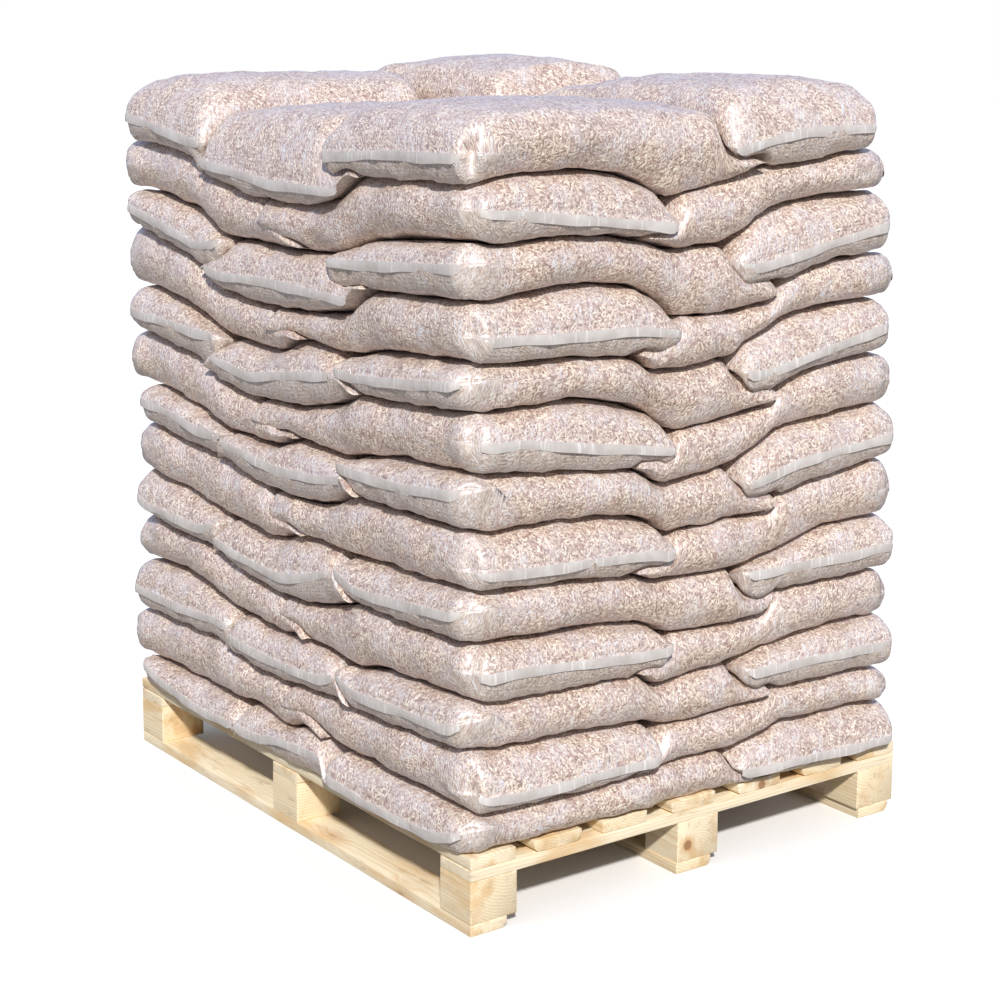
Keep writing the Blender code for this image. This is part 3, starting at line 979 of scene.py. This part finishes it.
def outward_directions(ring):
    """The direction straight out of the film at each point."""
    normal = np.cross(
        np.gradient(ring, axis=0), np.roll(ring, -1, axis=1) - np.roll(ring, 1, axis=1)
    )
    size = np.linalg.norm(normal, axis=-1, keepdims=True)
    normal = normal / np.maximum(size, 1e-12)
    centre = ring.mean(axis=(0, 1))
    return normal if ((ring - centre) * normal).sum() >= 0 else -normal


def weld_line(line, way, axis, keep):
    """The stretch of an end's closing line that shows a weld strip."""
    kept = np.nonzero(keep)[0]
    if len(kept) < 6:
        kept = np.arange(4, len(line) - 4)
    return line[kept[0]:kept[-1] + 1].copy(), way, axis


def lay_sack(sack, random):
    """Works out the film of one sack as rings of points, with its chart, masks and weld lines."""
    way = 1.0 if sack["inner"] > sack["outer"] else -1.0
    length = abs(sack["inner"] - sack["outer"])
    top = sack["crown"] is not None
    low, high = sack["low"], sack["high"]
    columns = sack_columns(TOP_SIDE_STEPS if top else SIDE_STEPS)[None, :]
    a = sack_stations(length)[:, None] * np.ones_like(columns)
    seed = random.uniform(0, 10)

    # A free edge wanders, and a lapped one draws in between the sack's ears
    (wide, slow), (fine, quick) = WANDER
    wander = wide * np.sin(a * slow + seed) + fine * np.sin(a * quick + seed * 2)
    drawn = LAP_DRAW * (1 - np.clip(fall_off(a, 0.13) + fall_off(length - a, 0.10), 0, 1))
    low_place = low["place"] + (drawn if low["lap"] else wander)
    high_place = high["place"] - (drawn if high["lap"] else wander)
    across = low_place + (high_place - low_place) * columns
    from_low, from_high = across - low_place, high_place - across
    near_low = columns < 0.5
    depth = np.where(near_low, from_low, from_high)
    full = np.where(near_low, low["lap"] is None, high["lap"] is None)

    # The end's outline turns back at its corners
    reach = np.where(full, END_REACH, LAPPED_REACH)
    share = np.clip(1 - depth / np.where(full, SIDE_REACH, LAPPED_REACH), 0.0, 1.0)
    bend = reach * (1 - np.sqrt(np.clip(1 - share**2, 0, 1))) * np.exp(-a / (1.6 * reach))
    along = sack["outer"] + way * (a + bend)
    x, y = (across, along) if sack["axis"] == "y" else (along, across)

    # The upper and the lower film, from the height at which they close
    room = sack_room(sack, x, y, np.minimum(a, depth))
    floor, ceiling = room[1:3]
    closing, forced = closing_height(sack, a, length, across, near_low, room, seed)
    above, below = film_opening(sack, a, bend, depth, full, columns, length)
    upper = closing + (ceiling - closing) * above
    lower = closing - (closing - floor) * below
    upper = np.maximum(upper, lower)
    heights = np.concatenate([upper, lower[:, -2:0:-1]], axis=1)
    ring = np.stack([all_round(x), all_round(y), heights], axis=-1)
    u, v = film_chart(ring)

    # Unevenness of the loose fill, where the film shows
    count = columns.size
    normal = outward_directions(ring)
    inward, near_edge = all_round(a), all_round(depth)
    from_outline = np.minimum(near_edge, inward)
    shows = 1 - fade((from_outline - 0.03) / 0.05)
    if top:
        shows[:, :count] = 1.0
    opened = np.concatenate([above, below[:, -2:0:-1]], axis=1)
    give = shows * np.clip(opened * 2.2, 0, 1)
    lumps = sum(size * ripples(u, v[:, :-1], random, *waves) for size, *waves in LUMPS)
    ring = ring + normal * (lumps * give)[..., None]

    # Pleats that run in from the weld
    side_axis, end_axis = (0, 1) if sack["axis"] == "y" else (1, 0)
    wave = np.sin(ring[..., side_axis] * PLEAT_WAVE + seed)
    pleat = wave * np.exp(-inward / PLEAT_REACH) * np.clip(opened * 3, 0, 1)
    gathered = 0.0009 + 0.0012 * fall_off(near_edge, 0.06)
    ring = ring + normal * (gathered * pleat)[..., None]

    # A full corner's ear is tucked in, on the line from the weld's end to the rounded side
    is_full = all_round(full & np.ones_like(depth, bool))
    from_end = (inward + all_round(bend)) / END_REACH * SIDE_REACH
    off_line = np.abs(from_end - near_edge)
    width, bite = TOP_TUCK if top else TUCK
    tuck = fall_off(off_line, width) * fall_off(ring[..., 2] - all_round(closing), 0.028)
    tuck = tuck * fall_off(from_outline, 0.045) * is_full
    from_side = all_round(np.where(near_low, 1.0, -1.0) * np.ones_like(depth))
    ring[..., side_axis] += bite * tuck * from_side
    ring[..., end_axis] += bite * tuck * way

    # Masks: where the film is clouded and shows painted highlights, and where it hangs below the
    # closing line and takes painted shade
    corner = 0.25 + (0.20 if top else 0.50) * is_full
    veil = 0.30 * np.exp(-inward / 0.035)
    veil = veil + corner * np.exp(-(inward**2 + near_edge**2) / 0.055**2)
    veil = veil + 0.2 * tuck + 0.25 * np.exp(-near_edge / 0.02) * np.exp(-inward / 0.14)
    under = np.zeros_like(veil)
    under[:, count:] = 1.0
    under[:, 0] = under[:, count - 1] = 0.5
    under = under * (1 - fade((inward - 0.02) / 0.03))

    # Weld strips run between the ears, and where the weld didn't have to move
    keep = forced < 0.003
    keep &= from_low[0] > (0.006 if low["lap"] else 0.018)
    keep &= from_high[0] > (0.006 if high["lap"] else 0.018)
    welds = [
        weld_line(ring[0, :count], -way, sack["axis"], keep),
        weld_line(ring[-1, :count], way, sack["axis"], depth[0] > 0.045),
    ]
    return ring, u, v, {"veil": np.clip(veil, 0.0, 1.0), "under": under}, welds


# Mesh helpers


def add_object(name, data):
    """Puts a new object at the origin of the scene."""
    obj = bpy.data.objects.new(name, data)
    bpy.context.scene.collection.objects.link(obj)
    return obj


def face_out(mesh):
    """Turns every face outward if the mesh as a whole is inside out."""
    bm = bmesh.new()
    bm.from_mesh(mesh)
    if bm.calc_volume(signed=True) < 0:
        bmesh.ops.reverse_faces(bm, faces=bm.faces[:])
        bm.to_mesh(mesh)
    bm.free()


def finish_faces(mesh, sharp_from):
    """Points the faces of closed pieces outward, and shades them smooth up to an angle."""
    bm = bmesh.new()
    bm.from_mesh(mesh)
    bmesh.ops.recalc_face_normals(bm, faces=bm.faces[:])
    bm.to_mesh(mesh)
    bm.free()
    mesh.shade_smooth()
    mesh.set_sharp_from_angle(angle=math.radians(sharp_from))


def add_attribute(mesh, name, values):
    """Gives every point of a mesh a number, or a vector."""
    values = np.asarray(values, np.float32)
    kind, field = ("FLOAT_VECTOR", "vector") if values.shape[1:] == (3,) else ("FLOAT", "value")
    layer = mesh.attributes.new(name, kind, "POINT")
    layer.data.foreach_set(field, values.ravel())


def sack_object(name, ring, u, v, masks, finish, random):
    """Turns the rings of one sack into a closed film mesh with its chart and masks."""
    rows, columns = ring.shape[:2]
    r = np.arange(rows - 1)[:, None]
    c = np.arange(columns)[None, :]
    following = (c + 1) % columns
    corners = (r * columns + c, r * columns + following,
               (r + 1) * columns + following, (r + 1) * columns + c)
    faces = np.stack(corners, axis=-1).reshape(-1, 4).tolist()
    next_u = np.roll(u, -1, axis=1)
    chart_u = np.stack([u[:-1], next_u[:-1], next_u[1:], u[1:]], axis=-1).ravel().tolist()
    chart_v = np.stack([v[:-1, :-1], v[:-1, 1:], v[1:, 1:], v[1:, :-1]], axis=-1).ravel().tolist()

    # Each end is closed by strips from the upper film to the lower
    for row, way in ((0, -1), (rows - 1, 1)):
        for k in range(columns // 2):
            corners = (k, k + 1, (columns - k - 1) % columns, (columns - k) % columns)
            corners = list(dict.fromkeys(corners))[::way]
            faces.append([row * columns + corner for corner in corners])
            chart_u.extend(u[row, corner] for corner in corners)
            chart_v.extend(v[row, corner] for corner in corners)
    mesh = bpy.data.meshes.new(name)
    mesh.from_pydata(ring.reshape(-1, 3).tolist(), [], faces)
    shift = (random.uniform(0, 9), random.uniform(0, 9))
    chart = np.array([chart_u, chart_v]).T + shift
    mesh.uv_layers.new(name="film").data.foreach_set("uv", chart.astype(np.float32).ravel())
    for label, mask_values in masks.items():
        add_attribute(mesh, label, mask_values.ravel())
    mesh.materials.append(finish)
    mesh.shade_smooth()
    face_out(mesh)
    return add_object(name, mesh)


# Geometry groups, and the weld strips that follow the weld lines

STRIP_THICKNESS = 0.0008

# The folds of a weld strip, from the weld on: shares of its width outward and down
STRIP_FOLDS = ((0.07, 0.04), (0.05, 0.32), (0.0, 0.33), (-0.04, 0.31))

# How deep a weld strip is rooted in its sack
STRIP_ROOT = 0.0015
SACK_SEED = 1432


def geometry_group(name, inputs):
    """A group that turns one mesh into another and gives it a finish."""
    inputs = (("Geometry", GEOMETRY, None), *inputs, ("Finish", MATERIAL, None))
    return new_group(name, inputs, (("Geometry", GEOMETRY),), "GeometryNodeTree")


def end_geometry(made, finish, out):
    """Ends a geometry group with real pieces that wear their finish."""
    tree = tree_of(made)
    real = add_node(tree, "GeometryNodeRealizeInstances", {0: made}).outputs[0]
    dressed = add_node(tree, "GeometryNodeSetMaterial", {"Geometry": real, "Material": finish})
    plug(dressed.outputs[0], out["Geometry"])


def weld_strip_tree():
    """Draws a hanging strip of film along each weld line, with a small thickness."""
    tree, given, out = geometry_group(
        "weld strip", (("Width", FLOAT, WELD_STRIP), ("Thickness", FLOAT, STRIP_THICKNESS))
    )
    outward, hang = (
        add_node(tree, "GeometryNodeInputNamedAttribute", {"Name": name},
                 data_type="FLOAT_VECTOR").outputs[0]
        for name in ("outward", "hang")
    )
    strip, picked = given["Geometry"], True
    for out_share, down_share in STRIP_FOLDS:
        out_step = vectors("SCALE", outward, times(given["Width"], out_share))
        down_step = vectors("SCALE", hang, times(given["Width"], down_share))
        step = vectors("ADD", out_step, down_step)
        folded = add_node(
            tree, "GeometryNodeExtrudeMesh",
            {"Mesh": strip, "Selection": picked, "Offset": step, "Offset Scale": 1.0},
            mode="EDGES",
        )
        strip, picked = folded.outputs["Mesh"], folded.outputs["Top"]

    # The other side of the film, joined to this one
    thick = vectors("SCALE", outward, given["Thickness"])
    back = add_node(
        tree, "GeometryNodeExtrudeMesh",
        {"Mesh": strip, "Offset": thick, "Offset Scale": 1.0, "Individual": False},
        mode="FACES",
    )
    front = add_node(tree, "GeometryNodeFlipFaces", {0: strip})
    join = add_node(tree, "GeometryNodeJoinGeometry", {0: back.outputs["Mesh"]})
    plug(front.outputs[0], join.inputs[0])
    merge = add_node(
        tree, "GeometryNodeMergeByDistance", {0: join.outputs[0], "Distance": 0.00002}
    )
    end_geometry(merge.outputs[0], given["Finish"], out)
    return tree


def run_tree(name, guide_mesh, tree, finish):
    """Runs a geometry group on a guide, and keeps what it makes as a plain mesh object."""
    guide = add_object(name + "_guide", guide_mesh)
    modifier = guide.modifiers.new("made", "NODES")
    modifier.node_group = tree
    for item in tree.interface.items_tree:
        if item.item_type == "SOCKET" and item.in_out == "INPUT" and item.name == "Finish":
            modifier[item.identifier] = finish
    view = bpy.context.evaluated_depsgraph_get()
    mesh = bpy.data.meshes.new_from_object(guide.evaluated_get(view))
    mesh.name = name
    bpy.data.objects.remove(guide, do_unlink=True)
    return add_object(name, mesh)


def weld_strips(name, welds, tree, finish, random):
    """All weld strips of one course as one piece."""
    points, edges, outwards, hangs = [], [], [], []
    for line, way, axis in welds:
        tangent = np.gradient(line, axis=0)
        facing = np.zeros_like(line)
        facing[:, 0] = tangent[:, 1]
        facing[:, 1] = -tangent[:, 0]
        size = np.linalg.norm(facing, axis=1, keepdims=True)
        facing = facing / np.maximum(size, 1e-9)
        facing[facing[:, 1 if axis == "y" else 0] * way < 0] *= -1

        # A strip narrows toward its ends, waves along its hem and swings in and out
        spread = np.linalg.norm(line - line[0], axis=1)
        taper = 0.6 + 0.4 * fade(np.minimum(spread, spread[-1] - spread) / 0.012)
        seed = random.uniform(0, 6)
        wave = np.sin(spread * 23 + seed) + 0.6 * np.sin(spread * 61 + 2 * seed)
        swing = 0.10 * np.sin(spread * 34 + seed * 3) + 0.05 * np.sin(spread * 83 + seed)
        hang = facing * (swing * taper)[:, None]
        hang[:, 2] -= taper * (1 + 0.10 * wave)
        start = len(points)
        points.extend((line - facing * STRIP_ROOT).tolist())
        edges.extend((start + k, start + k + 1) for k in range(len(line) - 1))
        outwards.extend((facing * taper[:, None]).tolist())
        hangs.extend(hang.tolist())
    guide = bpy.data.meshes.new(name)
    guide.from_pydata(points, edges, [])
    add_attribute(guide, "outward", outwards)
    add_attribute(guide, "hang", hangs)
    strips = run_tree(name, guide, tree, finish)
    finish_faces(strips.data, 35)
    return strips


def build_sacks(film, weld_film):
    """Every sack of every course, and the weld strips of each course."""
    tree = weld_strip_tree()
    generator = np.random.default_rng(SACK_SEED)
    for course in range(1, COURSES + 1):
        node = f"sack_layer_{course:02d}"
        welds = []
        for sack in course_plan(course):
            *form, lines = lay_sack(sack, generator)
            name = f"sack_{course:02d}_{sack['number']}"
            obj = sack_object(name, *form, film, generator)
            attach(obj, "root")
            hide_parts(node)
            welds.extend(lines)
        strips = weld_strips(f"weld_strips_{course:02d}", welds, tree, weld_film, generator)
        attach(strips, "root")


# Pallet

DECK_WANE = (0.004, 0.012, 0.006, 0.017, 0.009, 0.017, 0.004)
BOTTOM_CHAMFER = 0.008
WOOD_SEED = 77
NAIL_SEED = 5
BLOCK_ROWS = ("front", "middle", "back")
BLOCK_COLUMNS = ("left", "centre", "right")

# How far the plain corners and the ends of a board are rounded
CORNER_ROUNDING = 0.0016
END_ROUNDING = 0.0012

# Spacing of the points along a board and across it
BOARD_STEP = 0.02

# Where the nails sit: shares of a deck board's width, and places beside a block's middle
DECK_NAILS = (0.27, 0.73)
BLOCK_NAILS = (-0.02, 0.02)
NAIL_STRAY = 0.006


def board_outline(width, thick, wane, wane_sides, chamfer):
    """A board's cross-section from its lower left corner on: (across, up, bite) at each point.

    bite is how deep the corner is worn there, and 0 between the corners.
    """
    loop = []
    for side, up in ((-1, -1), (1, -1), (1, 1), (-1, 1)):
        worn = up < 0 and side in wane_sides
        bite = max(wane, chamfer, CORNER_ROUNDING) if worn else CORNER_ROUNDING
        steps = 5 if bite > 0.006 and wane else 2
        corner = []
        for k in range(steps + 1):
            turn = math.pi / 2 * k / steps
            inward, upward = bite * (1 - math.sin(turn)), bite * (1 - math.cos(turn))
            if chamfer and worn:
                share = k / steps
                inward, upward = bite * (1 - share), bite * share
            corner.append((side * (width / 2 - inward), up * (thick / 2 - upward), bite))
        loop += corner[::-1] if side == up else corner
    outline = []
    for point, following in zip(loop, loop[1:] + loop[:1]):
        outline.append(point)
        across, up = following[0] - point[0], following[1] - point[1]
        parts = int(math.hypot(across, up) / BOARD_STEP)
        for part in range(1, parts):
            share = part / parts
            outline.append((point[0] + share * across, point[1] + share * up, 0.0))
    return outline


def sawn_board(node, long_axis, finish, random, wane=0.0, wane_sides=(-1, 1), chamfer=0.0):
    """A sawn board in the place of its CAD node, with worn edges and its own grain.

    wane is how deep the bark edge bites into the lower corners, chamfer a sawn bevel there.
    """
    low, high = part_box(node)
    middle = [(low[k] + high[k]) / 2 for k in range(3)]
    cross_axis = 1 - long_axis
    length, width, thick = (high[k] - low[k] for k in (long_axis, cross_axis, 2))
    outline = board_outline(width, thick, wane, wane_sides, chamfer)

    # The core of the log that it was sawn from lies under it or over it
    pith = (random.uniform(-0.06, 0.06), random.uniform(-0.10, -0.03))
    if random.random() < 0.5:
        pith = (pith[0], -pith[1])
    shift = random.uniform(0, 40)
    warmth = random.uniform(0.0, 0.75)
    phase = random.uniform(0, 6)
    points, grain = [], []
    stations = max(int(length / BOARD_STEP), 8)
    inner = np.linspace(END_ROUNDING, length - END_ROUNDING, stations)
    places = [0.0, END_ROUNDING, *inner[1:-1], length - END_ROUNDING, length]
    for place in places:
        squeeze = 1.0
        if place in (0.0, length):
            squeeze = 1 - 2 * END_ROUNDING / min(width, thick)
        for across, up, bite in outline:
            side = 1 if across > 0 else -1
            if wane and up < 0 and bite > CORNER_ROUNDING:
                breathe = 1 + 0.35 * math.sin(place * 9 + phase) + 0.15 * math.sin(place * 31)
                corner_x, corner_z = side * width / 2, -thick / 2
                across = corner_x + (across - corner_x) * breathe
                up = corner_z + (up - corner_z) * breathe
                up = max(min(up, thick / 2 - 0.004), corner_z)
            local = [0.0, 0.0, 0.0]
            local[long_axis] = place - length / 2
            local[cross_axis] = across * squeeze
            local[2] = up * squeeze
            if abs(up) < thick / 2 - 0.001:
                rough = 0.0003 * math.sin(place * 140 + across * 90 + phase)
                local[cross_axis] -= abs(rough) * side
            points.append([middle[k] + local[k] for k in range(3)])
            grain.append((place + shift, across + pith[0], up + pith[1]))
    rows, count = len(places), len(outline)
    faces = [
        (row * count + k, row * count + (k + 1) % count,
         (row + 1) * count + (k + 1) % count, (row + 1) * count + k)
        for row in range(rows - 1)
        for k in range(count)
    ]
    faces.append(tuple(range(count))[::-1])
    faces.append(tuple((rows - 1) * count + k for k in range(count)))
    mesh = bpy.data.meshes.new("wood_" + node)
    mesh.from_pydata(points, [], faces)
    add_attribute(mesh, "grain", grain)
    add_attribute(mesh, "warmth", np.full(len(points), warmth))
    mesh.materials.append(finish)
    finish_faces(mesh, 40)
    obj = add_object("wood_" + node, mesh)
    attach(obj, "root")
    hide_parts(node)


def build_pallet(pine):
    """All boards and blocks, each with a grain of its own."""
    generator = np.random.default_rng(WOOD_SEED)
    for number, wane in enumerate(DECK_WANE, 1):
        sawn_board(f"deck_board_{number}", 0, pine, generator, wane=wane)
    for column in BLOCK_COLUMNS:
        sawn_board(f"stringer_board_{column}", 1, pine, generator)
    for row in BLOCK_ROWS:
        sawn_board(f"bottom_board_{row}", 0, pine, generator,
                   chamfer=BOTTOM_CHAMFER, wane_sides=(1,))
        for column in BLOCK_COLUMNS:
            sawn_board(f"block_{row}_{column}", 0, pine, generator)


def nail_tree():
    """Sets a nail head on every point of a mesh."""
    tree, given, out = geometry_group(
        "nails", (("Head Radius", FLOAT, 0.0042), ("Head Height", FLOAT, 0.0012))
    )
    head = add_node(
        tree, "GeometryNodeMeshCylinder",
        {"Vertices": 12, "Radius": given["Head Radius"], "Depth": given["Head Height"]},
    )
    heads = add_node(
        tree, "GeometryNodeInstanceOnPoints",
        {"Points": given["Geometry"], "Instance": head.outputs["Mesh"]},
    )
    end_geometry(heads.outputs[0], given["Finish"], out)
    return tree


def build_nails(steel):
    """Nails through the deck into the stringers, and through the bottom boards into blocks."""
    generator = np.random.default_rng(NAIL_SEED)
    places = []
    for number in range(1, len(DECK_WANE) + 1):
        low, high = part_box(f"deck_board_{number}")
        for column in BLOCK_COLUMNS:
            under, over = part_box(f"stringer_board_{column}")
            for share in DECK_NAILS:
                x = (under.x + over.x) / 2 + generator.uniform(-0.02, 0.02)
                y = low.y + share * (high.y - low.y) + generator.uniform(-NAIL_STRAY, NAIL_STRAY)
                places.append((x, y, high.z - 0.0004))
    for row in BLOCK_ROWS:
        low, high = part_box(f"bottom_board_{row}")
        for column in BLOCK_COLUMNS:
            under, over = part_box(f"block_{row}_{column}")
            for side in BLOCK_NAILS:
                x = (under.x + over.x) / 2 + side + generator.uniform(-NAIL_STRAY, NAIL_STRAY)
                y = (low.y + high.y) / 2 - side + generator.uniform(-NAIL_STRAY, NAIL_STRAY)
                places.append((x, y, low.z + 0.0008))
    guide = bpy.data.meshes.new("nails")
    guide.from_pydata(places, [], [])
    nails = run_tree("nails", guide, nail_tree(), steel)
    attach(nails, "root")


# Stage, light and camera

FLOOR_RADIUS = 40.0
KEY_STRENGTH = 3.9
KEY_SPREAD = 3.5
KEY_COLOUR = (1.0, 0.975, 0.94)
KEY_PLACE = (0.66, -0.445, 0.605)

# The surround: near the horizon, overhead, and behind the load
SURROUND_LOW = (0.16, 0.16, 0.165)
SURROUND_HIGH = (0.39, 0.44, 0.55)
SURROUND_BEHIND = (0.80, 0.81, 0.84)

# What shows in glossy surfaces, and what the camera sees
REFLECTED_SKY = (0.40, 0.50, 0.84)
BACKDROP = (1.0, 1.0, 1.0)

# The camera's direction in degrees, its lens, and its place
CAMERA_TURN = 53.86
CAMERA_RISE = 10.02
CAMERA_ROLL = 0.23
CAMERA_LENS = 74.22
CAMERA_SHIFT = -0.1
CAMERA_PLACE = (3.221, -2.358, 1.474)


def build_stage():
    """A plain round floor."""
    bm = bmesh.new()
    bmesh.ops.create_circle(bm, cap_ends=True, segments=96, radius=FLOOR_RADIUS)
    mesh = bpy.data.meshes.new("floor")
    bm.to_mesh(mesh)
    bm.free()
    mesh.materials.append(floor_finish())
    floor = add_object("floor", mesh)


def add_key_light():
    """One soft lamp as far off as the sun, in front of the load on the right."""
    lamp = bpy.data.lights.new("key", "SUN")
    lamp.energy = KEY_STRENGTH
    lamp.angle = math.radians(KEY_SPREAD)
    lamp.color = KEY_COLOUR
    sun = add_object("key", lamp)
    sun.rotation_mode = "QUATERNION"
    sun.rotation_quaternion = Vector(KEY_PLACE).to_track_quat("Z", "Y")


def light_scene():
    """The key light in a plain studio surround."""
    add_key_light()
    world = bpy.data.worlds.new("studio")
    bpy.context.scene.world = world
    world.use_nodes = True
    tree = world.node_tree
    tree.nodes.clear()
    x, y, z = split(add_node(tree, "ShaderNodeTexCoord").outputs["Generated"])
    tint = mix_colour(remap(z, 0.0, 0.7), SURROUND_LOW, SURROUND_HIGH)
    tint = mix_colour(remap(minus(y, x), 0.1, 1.2, 0.0, 0.7), tint, SURROUND_BEHIND)
    path = add_node(tree, "ShaderNodeLightPath").outputs
    tint = mix_colour(path["Is Glossy Ray"], tint, REFLECTED_SKY)
    tint = mix_colour(path["Is Camera Ray"], tint, BACKDROP)
    sky = add_node(tree, "ShaderNodeBackground", {"Color": tint})
    add_node(tree, "ShaderNodeOutputWorld", {0: sky.outputs[0]})
    bpy.context.scene.view_settings.view_transform = "Standard"


def place_camera():
    """The photograph's viewing angle: from the front right, a little above."""
    turn, rise, roll = map(math.radians, (CAMERA_TURN, CAMERA_RISE, CAMERA_ROLL))
    back = Vector((
        math.sin(turn) * math.cos(rise), -math.cos(turn) * math.cos(rise), math.sin(rise)
    ))
    right = Vector((math.cos(turn), math.sin(turn), 0.0))
    up = back.cross(right)
    rolled_right = math.cos(roll) * right + math.sin(roll) * up
    rolled_up = -math.sin(roll) * right + math.cos(roll) * up
    data = bpy.data.cameras.new("view")
    data.sensor_width = 36.0
    data.lens = CAMERA_LENS
    data.shift_y = CAMERA_SHIFT
    data.clip_end = 200.0
    camera = add_object("view", data)
    camera.matrix_world = Matrix.LocRotScale(
        Vector(CAMERA_PLACE), Matrix((rolled_right, rolled_up, back)).transposed(), None
    )
    bpy.context.scene.camera = camera


film = filled_film_finish(pellets_group(pellet_layer_group()), crinkle_glint_group())
build_sacks(film, weld_finish())
build_pallet(pine_finish(timber_group()))
build_nails(nail_finish())
build_stage()
light_scene()
place_camera()
